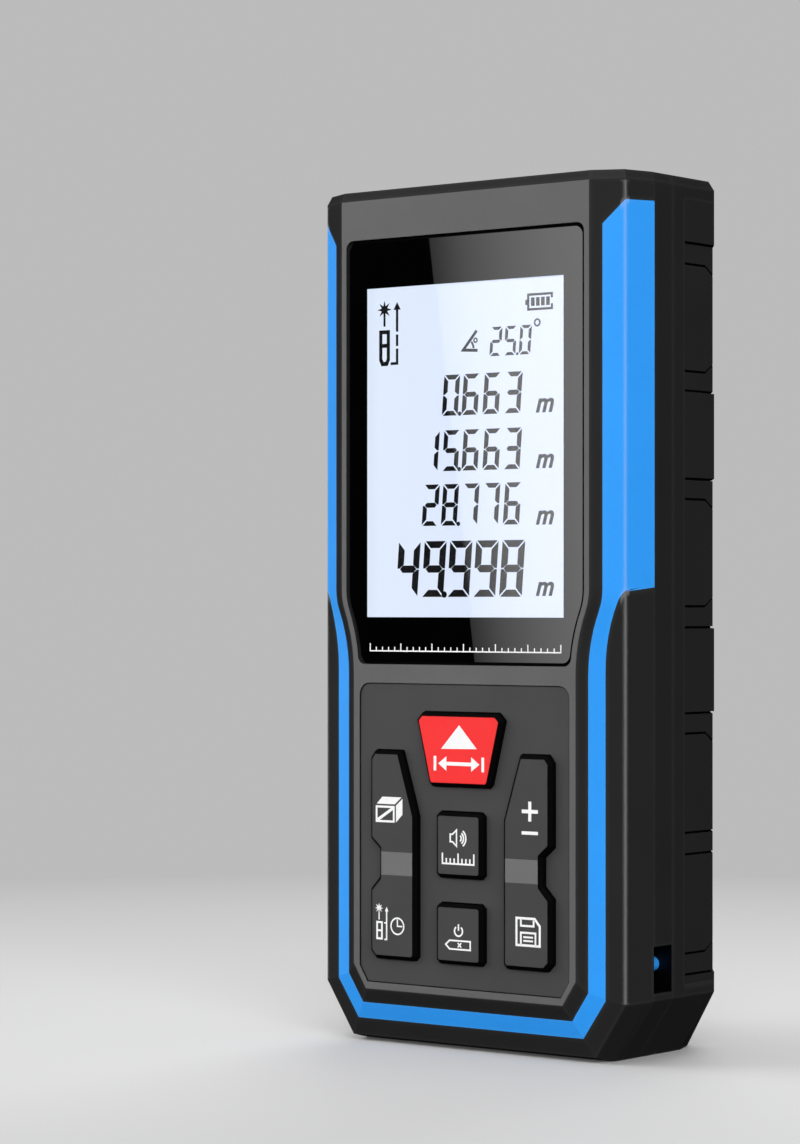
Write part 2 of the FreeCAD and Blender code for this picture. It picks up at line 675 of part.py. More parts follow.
def contact_plates():
    """Sprung plates: one for each cell at the bottom, and a bridge at the top."""
    plates = []
    for side in (-1, 1):
        x, top = side * CELL_X, BAY_BOTTOM + 0.4
        plate = block(x - 4.2, x + 4.2, 14.2, 23.2, BAY_BOTTOM, top)
        strip = block(x - 0.5, x + 0.5, BAY_FRONT, 14.4, BAY_BOTTOM, top)
        tail = block(x - 0.5, x + 0.5, BAY_FRONT, 13.8, BAY_BOTTOM, LEAD_Z + 0.4)
        lead = along_depth(0.5, x, LEAD_Z, BOARD_FRONT, 13.8)
        plates.append(union([plate, strip, tail, lead]))
    bridge = centred(10.2, 14.2, 23.2, BAY_TOP - 0.4, BAY_TOP)
    nub_rest = along_height(2.4, -CELL_X, CELL_DEPTH, 59.5, BAY_TOP - 0.3)
    plates.append(union([bridge, nub_rest]))
    low_rest = along_height(2.4, CELL_X, CELL_DEPTH, BAY_BOTTOM + 0.3, 12.0)
    plates[1] = union([plates[1], low_rest])
    return group(plates)


# ---- electronics -----------------------------------------------------------------------------
def main_board():
    board = centred(BOARD_HALF, BOARD_FRONT, BOARD_BACK, BOARD_BOTTOM, BOARD_TOP)
    cuts = [along_depth(1.0, x, z, 6, 9) for x, z in each_side(BOARD_SCREWS)]
    cuts += [along_depth(0.8, side * 16.5, z, 6, 9) for side in (-1, 1) for z in (63, 105)]
    cuts += [along_depth(0.5, side * CELL_X, LEAD_Z, 6, 9) for side in (-1, 1)]
    cuts += [along_depth(0.8, x, z, 6, 9) for x, z in chassis_screw_places()]
    cuts += [along_depth(2.7, x, z, 6, 9) for x, z in each_side(CASE_SCREWS[:1])]
    return board.cut(cuts)


def chips():
    """Packaged parts on the back of the board: processor, driver, power and memory."""
    places = [(-3.0, 74.0, 10.0, 10.0, 1.4), (6.5, 76.5, 5.0, 5.0, 1.2), (9.5, 69.5, 4.0, 4.0, 1.0),
              (-13.0, 68.0, 5.0, 4.0, 1.6), (0.0, 40.0, 8.0, 6.0, 1.2)]
    return group([block(x - w / 2, x + w / 2, BOARD_BACK, BOARD_BACK + t, z - h / 2, z + h / 2)
                  for x, z, w, h, t in places])


def crystal():
    can = block(-15.0, -10.4, BOARD_BACK, BOARD_BACK + 1.6, 74.0, 76.0)
    return can.makeFillet(0.6, [e for e in can.Edges if abs(e.tangentAt(e.FirstParameter).y) > 0.99])


def tilt_sensor():
    return block(13.2, 16.4, BOARD_BACK, BOARD_BACK + 1.0, 66.5, 69.7)


def buzzer():
    body = along_depth(4.6, 15.2, 75.0, BOARD_BACK, BOARD_BACK + 3.4)
    return body.cut(along_depth(0.9, 15.2, 75.0, BOARD_BACK + 2.4, BOARD_BACK + 4))


# ---- optics ----------------------------------------------------------------------------------
CHASSIS_BOTTOM = 86.0
CHASSIS_TOP = 112.0
CHASSIS_FRONT = 8.6


def optics_chassis():
    """Rigid block that holds the laser and the receiver parallel."""
    body = block(-14.7, 13.5, CHASSIS_FRONT, 24.2, CHASSIS_BOTTOM, CHASSIS_TOP)
    body = body.makeChamfer(1.5, [e for e in upright_edges(body) if e.CenterOfMass.y > FRONT_Y + 20])
    ears = [block(x0, x0 + 5.0, CHASSIS_FRONT, 11.0, z0, z0 + 5.0)
            for x0 in (-18.9, 13.0) for z0 in (88.0, 100.0)]
    body = union([body] + ears)
    cuts = [along_height(LASER_BORE, LASER_X, OPTIC_DEPTH, 80, 115),
            along_height(RECEIVER_BORE, RECEIVER_X, OPTIC_DEPTH, CHASSIS_BOTTOM + 3, 115),
            along_height(3.2, RECEIVER_X, OPTIC_DEPTH, 80, 115)]
    cuts += [along_depth(0.8, x, z, 8, 12) for x, z in chassis_screw_places()]
    return body.cut(cuts)


def chassis_screw_places():
    return [(x, z) for x in (-16.6, 15.6) for z in (90.5, 102.5)]


def laser_barrel():
    tube = along_height(LASER_BORE, LASER_X, OPTIC_DEPTH, 84.0, 113.0)
    bore = along_height(3.3, LASER_X, OPTIC_DEPTH, 88.0, 114.0)
    seat = along_height(2.8, LASER_X, OPTIC_DEPTH, 83.0, 89.0)
    return tube.cut([bore, seat])


def laser_diode():
    can = along_height(2.4, LASER_X, OPTIC_DEPTH, 85.6, 88.4)
    base = along_height(2.8, LASER_X, OPTIC_DEPTH, 84.4, 85.6)
    pins = [along_height(0.25, LASER_X + dx, OPTIC_DEPTH + dy, 81.4, 84.5)
            for dx, dy in ((1.0, 0.0), (-1.0, 0.0), (0.0, 1.0))]
    return union([can, base] + pins)


def lens(x, radius, z, edge, crown):
    """Plano-convex lens, flat side down, with a tiny lapped flat at its crown."""
    rim = along_height(radius, x, OPTIC_DEPTH, z, z + edge)
    sphere_r = (radius ** 2 + crown ** 2) / (2 * crown)
    ball = Part.makeSphere(sphere_r, at(x, OPTIC_DEPTH, z + edge + crown - sphere_r))
    flat = 0.01
    dome = ball.common(along_height(radius, x, OPTIC_DEPTH, z + edge, z + edge + crown - flat))
    return rim.fuse(dome).removeSplitter()


def receiver_barrel():
    """Black tube with a lens seat, glued in the chassis."""
    tube = along_height(RECEIVER_BORE, RECEIVER_X, OPTIC_DEPTH, CHASSIS_BOTTOM + 3, 113.4)
    seat = along_height(6.6, RECEIVER_X, OPTIC_DEPTH, 108.6, 114)
    cone = Part.makeCone(3.2, 6.2, 19.0, at(RECEIVER_X, OPTIC_DEPTH, CHASSIS_BOTTOM + 3), V(0, 0, 1))
    throat = along_height(6.2, RECEIVER_X, OPTIC_DEPTH, CHASSIS_BOTTOM + 22, 108.7)
    return tube.cut([seat, cone, throat])


def detector_board():
    board = block(-1.6, 12.8, 11.0, 21.4, 83.2, 84.4)
    return board.fuse(block(3.0, 8.2, BOARD_BACK, 11.2, 83.2, 84.4)).removeSplitter()


def photodiode():
    can = along_height(2.9, RECEIVER_X, OPTIC_DEPTH, 84.4, 87.6)
    rim = along_height(3.1, RECEIVER_X, OPTIC_DEPTH, 84.4, 85.0)
    return union([can, rim])


def detector_shield():
    """Tinned lid over the detector's amplifier."""
    lid = block(-1.4, 12.6, 11.4, 21.2, 80.4, 83.2)
    return lid.cut(block(-1.1, 12.3, 11.7, 20.9, 80.7, 83.3))


def optics_bezel():
    """End panel with the exit hole of the laser and the receiver's aperture."""
    plate = optics_opening(0, 116.2, 118.5)
    flange = optics_opening(1.1, 115.35, 116.2)
    body = union([plate, flange])
    cuts = []
    for x, radius in ((LASER_X, 2.9), (RECEIVER_X, 7.0)):
        cuts.append(along_height(radius, x, OPTIC_DEPTH - 1.2, 117.2, 119))
        cuts.append(along_height(radius - 0.8, x, OPTIC_DEPTH - 1.2, 115, 118))
    return body.cut(cuts)


def end_window(x, radius):
    return along_height(radius, x, OPTIC_DEPTH - 1.2, 117.2, 118.2)


# ---- fasteners and seals ---------------------------------------------------------------------
def screw(x, z, seat, length, head_r, shank_r, head_h):
    """Pan-head screw driven towards the front, with a cross recess."""
    head = along_depth(head_r, x, z, seat, seat + head_h)
    shank = along_depth(shank_r, x, z, seat - length, seat)
    cross = [block(x - 0.75 * head_r, x + 0.75 * head_r, seat + head_h - 0.6, seat + head_h + 1,
                   z - 0.16 * head_r, z + 0.16 * head_r),
             block(x - 0.16 * head_r, x + 0.16 * head_r, seat + head_h - 0.6, seat + head_h + 1,
                   z - 0.75 * head_r, z + 0.75 * head_r)]
    return head.fuse(shank).removeSplitter().cut(cross)


def case_screws():
    return group([screw(x, z, SCREW_SEAT, 13.5, 1.9, 0.8, 1.4) for x, z in each_side(CASE_SCREWS)])


def board_screws():
    return group([screw(x, z, BOARD_BACK, 4.4, 1.4, 0.7, 1.0) for x, z in each_side(BOARD_SCREWS)])


def chassis_screws():
    return group([screw(x, z, 11.0, 3.6, 1.3, 0.8, 1.0) for x, z in chassis_screw_places()])


# ---- build -----------------------------------------------------------------------------------
def build():
    hull = make_hull()
    trim = make_trim(hull)
    nodes = {
        "front_shell": front_shell(hull, trim),
        "rear_shell": rear_shell(hull),
        "blue_trim": trim.cut(strap_recess()),
        "grip_left": make_grip(hull, -1),
        "grip_right": make_grip(hull, 1),
        "lanyard_post": lanyard_post(),
        "front_bezel": front_bezel(),
        "display_window": display_window(),
        "window_gasket": window_gasket(),
        "lcd_glass": lcd_glass(),
        "lcd_holder": lcd_holder(),
        "light_guide": light_guide(),
        "light_reflector": light_reflector(),
        "lcd_contact_strip": contact_strip(),
        "keypad_panel": keypad_panel(),
        "keypad_mat": keypad_mat(),
        "main_board": main_board(),
        "chips": chips(),
        "crystal": crystal(),
        "tilt_sensor": tilt_sensor(),
        "buzzer": buzzer(),
        "optics_chassis": optics_chassis(),
        "laser_barrel": laser_barrel(),
        "laser_diode": laser_diode(),
        "collimator_lens": lens(LASER_X, 3.3, 109.6, 0.8, 0.9),
        "receiver_barrel": receiver_barrel(),
        "receiver_lens": lens(RECEIVER_X, 6.6, 108.6, 1.2, 1.9),
        "detector_board": detector_board(),
        "photodiode": photodiode(),
        "detector_shield": detector_shield(),
        "optics_bezel": optics_bezel(),
        "laser_window": end_window(LASER_X, 2.85),
        "receiver_window": end_window(RECEIVER_X, 6.95),
        "battery_door": battery_door(),
        "battery_door_latch": door_latch(),
        "battery_foam": battery_foam(),
        "battery_left": cell(-CELL_X, True),
        "battery_right": cell(CELL_X, False),
        "contact_plates": contact_plates(),
        "contact_springs": group([contact_spring(-CELL_X, BAY_BOTTOM + 0.4, 15.0),
                                  contact_spring(CELL_X, 13.0 + CELL_LENGTH, BAY_TOP - 0.4)]),
        "case_screws": case_screws(),
        "board_screws": board_screws(),
        "chassis_screws": chassis_screws(),
    }
    for name in KEY_OUTLINES:
        cap = key_cap(name)
        if "rocker" in name:
            bar = rocker_bar(name)
            cap = cap.cut(bar)
            nodes[name + "_bar"] = bar
        nodes[name + "_cap"] = cap
        nodes[name + "_body"] = key_body(name)
        nodes[name + "_pills"] = contact_pills(name)
    return nodes


def report(name, shape):
    box = shape.BoundBox
    print("%-22s solids %d valid %s volume %9.2f  x %7.2f %7.2f  y %7.2f %7.2f  z %7.2f %7.2f" % (
        name, len(shape.Solids), shape.isValid(), shape.Volume, box.XMin, box.XMax, box.YMin,
        box.YMax, box.ZMin, box.ZMax))


for node_name, node_shape in build().items():
    report(node_name, node_shape)
    node_shape.exportStep("parts/%s.step" % node_name)
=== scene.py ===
"""A pocket laser distance meter: the finishes of its CAD parts, its lit display and its printed marks.

Helpers take millimetres in the row frame (X right, Y back, Z up) and make meshes in metres.
"""

import json
import math

import bmesh
import bpy
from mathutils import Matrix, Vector


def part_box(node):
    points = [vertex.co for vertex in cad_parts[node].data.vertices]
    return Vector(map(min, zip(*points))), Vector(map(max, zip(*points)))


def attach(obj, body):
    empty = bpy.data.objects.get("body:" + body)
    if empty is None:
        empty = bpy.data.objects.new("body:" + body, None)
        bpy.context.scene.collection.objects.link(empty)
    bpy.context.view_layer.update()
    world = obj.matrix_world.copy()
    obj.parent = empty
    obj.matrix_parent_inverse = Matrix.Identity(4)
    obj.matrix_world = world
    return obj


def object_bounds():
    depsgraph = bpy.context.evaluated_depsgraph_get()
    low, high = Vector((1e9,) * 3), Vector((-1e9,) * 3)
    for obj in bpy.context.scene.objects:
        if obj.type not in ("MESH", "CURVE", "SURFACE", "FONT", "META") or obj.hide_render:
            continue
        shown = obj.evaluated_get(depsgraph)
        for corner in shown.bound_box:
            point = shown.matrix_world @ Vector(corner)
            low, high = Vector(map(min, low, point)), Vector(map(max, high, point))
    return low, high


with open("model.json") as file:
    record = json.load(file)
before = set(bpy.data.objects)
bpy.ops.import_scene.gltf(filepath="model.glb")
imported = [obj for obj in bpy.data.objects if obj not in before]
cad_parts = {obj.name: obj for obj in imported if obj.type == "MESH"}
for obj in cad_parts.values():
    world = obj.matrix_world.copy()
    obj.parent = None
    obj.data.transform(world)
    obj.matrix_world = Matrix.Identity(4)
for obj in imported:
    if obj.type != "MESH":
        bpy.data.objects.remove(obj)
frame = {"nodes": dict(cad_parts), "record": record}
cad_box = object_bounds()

MM = 0.001


# ---------------------------------------------------------------- node helpers

class Tree:
    """A material's node tree, with short calls for the patterns that every finish here uses."""

    def __init__(self, name):
        self.material = bpy.data.materials.new(name)
        self.material.use_nodes = True
        self.nodes = self.material.node_tree.nodes
        self.links = self.material.node_tree.links
        self.shader = self.nodes["Principled BSDF"]
        self.output = self.nodes["Material Output"]
        self.place = self.nodes.new("ShaderNodeTexCoord").outputs["Object"]

    def add(self, kind, **inputs):
        """A new node of that kind, with its named inputs set to values or linked to sockets."""
        node = self.nodes.new(kind)
        for key, value in inputs.items():
            self.set(node, key.replace("_", " "), value)
        return node

    def set(self, node, key, value):
        socket = node.inputs[key]
        if isinstance(value, bpy.types.NodeSocket):
            self.links.new(value, socket)
        else:
            socket.default_value = value

    def noise(self, size, detail=2.0, seed=0.0):
        """Cloudy noise from 0 to 1 with features of that size in mm."""
        node = self.nodes.new("ShaderNodeTexNoise")
        node.noise_dimensions = "4D"
        self.links.new(self.place, node.inputs["Vector"])
        node.inputs["W"].default_value = seed
        node.inputs["Scale"].default_value = 1 / (size * MM)
        node.inputs["Detail"].default_value = detail
        return node.outputs["Fac"]

    def spread(self, value, low, high, from_low=0.3, from_high=0.7):
        """value, spread from its own range to low..high."""
        node = self.nodes.new("ShaderNodeMapRange")
        self.links.new(value, node.inputs["Value"])
        node.inputs["From Min"].default_value = from_low
        node.inputs["From Max"].default_value = from_high
        node.inputs["To Min"].default_value = low
        node.inputs["To Max"].default_value = high
        return node.outputs["Result"]

    def math(self, operation, *values):
        node = self.nodes.new("ShaderNodeMath")
        node.operation = operation
        for socket, value in zip(node.inputs, values):
            if isinstance(value, bpy.types.NodeSocket):
                self.links.new(value, socket)
            else:
                socket.default_value = value
        return node.outputs["Value"]

    def blend(self, share, first, second):
        """Colour first turning into colour second as share goes from 0 to 1."""
        node = self.nodes.new("ShaderNodeMix")
        node.data_type = "RGBA"
        self.links.new(share, node.inputs["Factor"])
        colours = [s for s in node.inputs if s.type == "RGBA"]
        for socket, value in zip(colours, (first, second)):
            if isinstance(value, bpy.types.NodeSocket):
                self.links.new(value, socket)
            else:
                socket.default_value = value
        return [s for s in node.outputs if s.type == "RGBA"][0]

    def mix(self, share, first, second):
        """A shader that goes from first to second as share goes from 0 to 1."""
        node = self.nodes.new("ShaderNodeMixShader")
        self.links.new(share, node.inputs["Fac"])
        self.links.new(first.outputs[0], node.inputs[1])
        self.links.new(second.outputs[0], node.inputs[2])
        return node

    def within(self, low, high, mirrored=False):
        """1 inside the box between two corners in mm, 0 outside; mirrored adds its left-hand copy."""
        inside = None
        for name, a, b in zip("XYZ", low, high):
            along = self.axis(name)
            if mirrored and name == "X":
                along = self.math("ABSOLUTE", along)
            offset = self.math("SUBTRACT", along, (a + b) / 2 * MM)
            test = self.math("LESS_THAN", self.math("ABSOLUTE", offset), (b - a) / 2 * MM)
            inside = test if inside is None else self.math("MULTIPLY", inside, test)
        return inside

    def axis(self, name):
        """The X, Y or Z of the point being shaded, in metres."""
        node = self.nodes.new("ShaderNodeSeparateXYZ")
        self.links.new(self.place, node.inputs["Vector"])
        return node.outputs[name]

    def rounded_normal(self, radius):
        """The surface's normal with its sharp edges eased to that radius in mm."""
        node = self.nodes.new("ShaderNodeBevel")
        node.samples = 4
        node.inputs["Radius"].default_value = radius * MM
        return node.outputs["Normal"]

    def edge_share(self, radius, sharpness):
        """1 on an edge and 0 on a flat: the band is as wide as the radius in mm, and sharpness fills it."""
        geometry = self.nodes.new("ShaderNodeNewGeometry")
        dot = self.nodes.new("ShaderNodeVectorMath")
        dot.operation = "DOT_PRODUCT"
        self.links.new(self.rounded_normal(radius), dot.inputs[0])
        self.links.new(geometry.outputs["Normal"], dot.inputs[1])
        away = self.math("SUBTRACT", 1.0, dot.outputs["Value"])
        scaled = self.math("MULTIPLY", away, sharpness)
        return self.math("MINIMUM", scaled, 1.0)

    def relief(self, height, depth, strength, normal=None):
        """A bump normal from a height field, depth in mm."""
        node = self.nodes.new("ShaderNodeBump")
        node.inputs["Strength"].default_value = strength
        node.inputs["Distance"].default_value = depth * MM
        self.links.new(height, node.inputs["Height"])
        if normal is not None:
            self.links.new(normal, node.inputs["Normal"])
        return node.outputs["Normal"]


def shade(colour, factor):
    """An RGBA colour made lighter or darker."""
    return tuple(min(1.0, c * factor) for c in colour[:3]) + (1.0,)


def moulding(name, colour, roughness, grain=0.12, grain_depth=0.006, mottle=0.06, specular=0.4,
             edge=0.0, easing=0.12, black=None, black_both=False, black_tone=0.0008):
    """Moulded plastic or rubber: a spark-eroded grain, slow clouds of tone, a painted highlight on the edges,
    painted shade in a box.
    """
    tree = Tree(name)
    clouds = tree.noise(9.0, detail=3.0)
    tone = tree.blend(tree.spread(clouds, 0.0, 1.0), shade(colour, 1 - mottle), shade(colour, 1 + mottle))
    specks = tree.noise(grain, detail=1.0, seed=3.0)
    tone = tree.blend(tree.spread(specks, 0.0, 0.35), tone, shade(colour, 1.25))
    # painted highlight: edges lifted towards white, in full inside the box round the long front edges
    if edge:
        highlight_share = tree.within(*FULL_HIGHLIGHT_EDGE, mirrored=True)
        highlight_share = tree.spread(highlight_share, OTHER_EDGES_HIGHLIGHT * edge, edge, 0.0, 1.0)
        painted_highlight = tree.math("MULTIPLY", tree.edge_share(HIGHLIGHT_WIDTH, HIGHLIGHT_SHARPNESS), highlight_share)
        highlight_tone = tuple(c + (1 - c) * HIGHLIGHT_LIFT for c in colour[:3]) + (1,)
        tone = tree.blend(painted_highlight, tone, highlight_tone)
    # painted shade: near-black inside the given box
    if black:
        tone = tree.blend(tree.within(*black, mirrored=black_both), tone, (black_tone,) * 3 + (1,))
    tree.set(tree.shader, "Base Color", tone)
    smears = tree.noise(4.0, detail=4.0, seed=5.0)
    tree.set(tree.shader, "Roughness", tree.spread(smears, roughness - 0.05, roughness + 0.05))
    tree.shader.inputs["Specular IOR Level"].default_value = specular
    normal = tree.relief(specks, grain_depth, 0.6, tree.rounded_normal(easing) if easing else None)
    tree.set(tree.shader, "Normal", normal)
    return tree.material


def metal(name, colour, roughness, grain=0.08, grain_depth=0.003, mottle=0.08, along=None):
    """Metal with faint tarnish clouds; along stretches its grain on one axis, as drawing or turning does."""
    tree = Tree(name)
    tree.shader.inputs["Metallic"].default_value = 1.0
    clouds = tree.noise(3.0, detail=4.0)
    tone = tree.blend(tree.spread(clouds, 0.0, 1.0), shade(colour, 1 - mottle), shade(colour, 1 + mottle))
    tree.set(tree.shader, "Base Color", tone)
    if along is not None:
        stretch = tree.nodes.new("ShaderNodeMapping")
        stretch.inputs["Scale"].default_value = along
        tree.links.new(tree.place, stretch.inputs["Vector"])
        tree.place = stretch.outputs["Vector"]
    grain_field = tree.noise(grain, detail=2.0, seed=2.0)
    tree.set(tree.shader, "Roughness", tree.spread(grain_field, roughness - 0.06, roughness + 0.08))
    tree.set(tree.shader, "Normal", tree.relief(grain_field, grain_depth, 0.5))
    return tree.material


# ---------------------------------------------------------------- finishes

SHELL = (0.0172, 0.0172, 0.0176, 1)
BEZEL = (0.107, 0.107, 0.109, 1)
PANEL = (0.055, 0.055, 0.056, 1)
KEY = (0.053, 0.053, 0.054, 1)
KEY_BAR = (0.148, 0.148, 0.151, 1)
RUBBER = (0.002, 0.002, 0.002, 1)
BLUE = (0.028, 0.315, 0.92, 1)
RED = (0.91, 0.023, 0.024, 1)

# the painted highlight along the edges: the band's width in mm, how sharply it fills, how far it lifts the
# tone towards white, and the share of it that edges get outside the box below
HIGHLIGHT_WIDTH = 0.8
HIGHLIGHT_SHARPNESS = 60.0
HIGHLIGHT_LIFT = 0.15
OTHER_EDGES_HIGHLIGHT = 0.06
# box in mm round the long front edge of each side, where the painted highlight is at full strength
FULL_HIGHLIGHT_EDGE = ((25.0, -11.5, 8.3), (26.2, -10.2, 117.5))
# boxes in mm behind the front faces of the bezel and the keypad panel: what lies in them is painted
# near-black, as painted shade on their edges and in the gaps round them
BEZEL_WALLS = ((-30.0, -12.97, 0.0), (30.0, -12.0, 119.0))
PANEL_WALLS = ((-30.0, -12.82, 0.0), (30.0, -11.0, 60.0))
# box in mm that holds the floors of the grooves in a grip's flank, painted near-black as shade
GRIP_GROOVES = ((25.8, 1.0, 0.0), (26.68, 8.4, 119.0))
# the lanyard recess, in mm, whose inside is painted near-black as shade
STRAP_RECESS = ((21.7, -6.2, 9.35), (27.3, -2.0, 15.65))


def black_shell():
    # painted highlight on the edges; painted shade inside the lanyard recess
    return moulding("shell_black", SHELL, 0.5, specular=0.3, edge=1.0, black=STRAP_RECESS)


def blue_trim():
    # painted highlight on the edges
    return moulding("trim_blue", BLUE, 0.42, grain=0.2, grain_depth=0.003, mottle=0.03, specular=0.3,
                    edge=1.0)


def grip_rubber():
    # painted shade on the floors of the grooves
    return moulding("grip_rubber", SHELL, 0.68, grain=0.18, grain_depth=0.01, specular=0.25,
                    black=GRIP_GROOVES, black_both=True)


def bezel_grey():
    # painted highlight on the edges; painted shade behind the front face
    return moulding("bezel_grey", BEZEL, 0.5, specular=0.35, edge=0.5, black=BEZEL_WALLS, black_tone=0.01)


def panel_grey():
    # painted shade behind the front face
    return moulding("panel_grey", PANEL, 0.55, specular=0.3, black=PANEL_WALLS)


def key_rubber():
    return moulding("key_rubber", RUBBER, 0.6, grain=0.25, specular=0.06)


def key_grey():
    return moulding("key_grey", KEY, 0.55, specular=0.3)


def key_bar():
    return moulding("key_bar_grey", KEY_BAR, 0.5, specular=0.3)


def key_red():
    return moulding("key_red", RED, 0.45, grain=0.2, mottle=0.03, specular=0.3)


def foam_black():
    return moulding("foam_black", (0.004, 0.004, 0.004, 1), 0.9, grain=0.35, grain_depth=0.06, specular=0.05)


def contact_rubber():
    return moulding("contact_rubber", (0.01, 0.01, 0.01, 1), 0.75, grain=0.3, specular=0.2)


def holder_white():
    return moulding("holder_white", (0.72, 0.72, 0.7, 1), 0.4, mottle=0.03)


def reflector_film():
    return moulding("reflector_film", (0.85, 0.85, 0.85, 1), 0.7, grain=0.5, mottle=0.03)


def chip_black():
    return moulding("chip_black", (0.012, 0.012, 0.013, 1), 0.6, grain=0.1, grain_depth=0.01)


def cell_jacket():
    """A printed cell jacket: dark, with a tan band near the button end, which is down on the right cell."""
    tree = Tree("cell_jacket")
    low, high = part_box("battery_left")
    middle = (low.z + high.z) / 2
    upright = tree.spread(tree.axis("X"), 1.0, -1.0, -0.1 * MM, 0.1 * MM)
    toward_button = tree.math("MULTIPLY", tree.math("SUBTRACT", tree.axis("Z"), middle), upright)
    band = tree.math("COMPARE", toward_button, (high.z - low.z) / 3, 3.5 * MM)
    clouds = tree.noise(5.0)
    base = tree.blend(tree.spread(clouds, 0.0, 1.0), (0.02, 0.02, 0.024, 1), (0.032, 0.032, 0.036, 1))
    tree.set(tree.shader, "Base Color", tree.blend(band, base, (0.42, 0.3, 0.12, 1)))
    tree.set(tree.shader, "Roughness", tree.spread(tree.noise(2.0, detail=4.0), 0.28, 0.4))
    return tree.material


def board_green():
    """Solder resist over buried copper: darker lines on a fine grid, a fibreglass weave in relief."""
    tree = Tree("board_green")
    brick = tree.nodes.new("ShaderNodeTexBrick")
    turned = tree.nodes.new("ShaderNodeMapping")
    turned.inputs["Rotation"].default_value = (math.pi / 2, 0, 0)
    tree.links.new(tree.place, turned.inputs["Vector"])
    tree.links.new(turned.outputs["Vector"], brick.inputs["Vector"])
    brick.inputs["Scale"].default_value = 260.0
    brick.inputs["Mortar Size"].default_value = 0.03
    brick.inputs["Color1"].default_value = (0.012, 0.09, 0.035, 1)
    brick.inputs["Color2"].default_value = (0.016, 0.115, 0.045, 1)
    brick.inputs["Mortar"].default_value = (0.03, 0.17, 0.07, 1)
    tree.links.new(brick.outputs["Color"], tree.shader.inputs["Base Color"])
    tree.set(tree.shader, "Roughness", tree.spread(tree.noise(1.5), 0.3, 0.42))
    tree.set(tree.shader, "Normal", tree.relief(brick.outputs["Fac"], 0.02, 0.4))
    return tree.material


CLEAR_IOR = 1.49         # acrylic; the small glass parts take it too


def clear_plastic(name, tint, roughness, clearness):
    """A clear part: mostly see-through, with a polished face that mirrors the room."""
    tree = Tree(name)
    through = tree.add("ShaderNodeBsdfTransparent", Color=tint)
    body = tree.shader
    body.inputs["Base Color"].default_value = tint
    tree.set(body, "Roughness", tree.spread(tree.noise(6.0, detail=3.0), roughness, roughness + 0.03))
    fresnel = tree.add("ShaderNodeFresnel", IOR=CLEAR_IOR)
    opaque = tree.math("MAXIMUM", fresnel.outputs["Fac"], 1 - clearness)
    tree.links.new(tree.mix(opaque, through, body).outputs[0], tree.output.inputs["Surface"])
    return tree.material


# The clear opening in the window's black print, in mm.
DISPLAY_HALF_WIDTH = 16.85
DISPLAY_FOOT = 59.5
DISPLAY_HEAD = 105.3


OVER_DISPLAY = 0.45      # how much of its mirroring the window keeps where the lit display is behind it


def window_acrylic():
    """The window: clear over the display, printed black round it, polished all over."""
    tree = Tree("window_acrylic")
    low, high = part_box("display_window")
    middle = (DISPLAY_FOOT + DISPLAY_HEAD) / 2 * MM
    half_height = (DISPLAY_HEAD - DISPLAY_FOOT) / 2 * MM
    beside = tree.math("GREATER_THAN", tree.math("ABSOLUTE", tree.axis("X")), DISPLAY_HALF_WIDTH * MM)
    offset = tree.math("SUBTRACT", tree.axis("Z"), middle)
    above = tree.math("GREATER_THAN", tree.math("ABSOLUTE", offset), half_height)
    front = tree.math("LESS_THAN", tree.axis("Y"), (low.y + high.y) / 2)
    printed = tree.math("MULTIPLY", tree.math("MAXIMUM", beside, above), front)
    body = tree.shader
    dust = tree.noise(7.0, detail=5.0, seed=1.0)
    tree.set(body, "Base Color", tree.blend(dust, (0.0, 0.0, 0.0, 1), (0.0008, 0.0008, 0.0009, 1)))
    body.inputs["Roughness"].default_value = 0.9
    body.inputs["Specular IOR Level"].default_value = 0.0
    through = tree.nodes.new("ShaderNodeBsdfTransparent")
    covered = tree.mix(printed, through, body)
    mirror = tree.add("ShaderNodeBsdfGlossy", Roughness=tree.spread(dust, 0.004, 0.012))
    fresnel = tree.add("ShaderNodeFresnel", IOR=CLEAR_IOR)
    strength = tree.spread(printed, OVER_DISPLAY, 1.0, 0.0, 1.0)
    share = tree.math("MULTIPLY", fresnel.outputs["Fac"], strength)
    tree.links.new(tree.mix(share, covered, mirror).outputs[0], tree.output.inputs["Surface"])
    return tree.material


def lcd_glass():
    """The lit display: a cool white, dimmer to the right, where the window mirrors more light."""
    tree = Tree("lcd_glass")
    share = tree.spread(tree.axis("X"), 0.0, 1.0, -DISPLAY_HALF_WIDTH * MM, DISPLAY_HALF_WIDTH * MM)
    glow = tree.blend(share, (0.752, 0.85, 1.0, 1), (0.66, 0.725, 0.92, 1))
    haze = tree.noise(8.0, detail=3.0)
    glow = tree.blend(tree.spread(haze, 0.0, 0.04), glow, (0.6, 0.72, 0.9, 1))
    tree.shader.inputs["Base Color"].default_value = (0.02, 0.022, 0.024, 1)
    tree.set(tree.shader, "Emission Color", glow)
    tree.shader.inputs["Emission Strength"].default_value = 1.05
    tree.set(tree.shader, "Roughness", tree.spread(tree.noise(0.6), 0.3, 0.4))
    return tree.material


def light_guide():
    return clear_plastic("light_guide_acrylic", (0.85, 0.9, 0.95, 1), 0.08, 0.6)


def plain_glass(name, tint):
    return clear_plastic(name, tint, 0.02, 0.75)


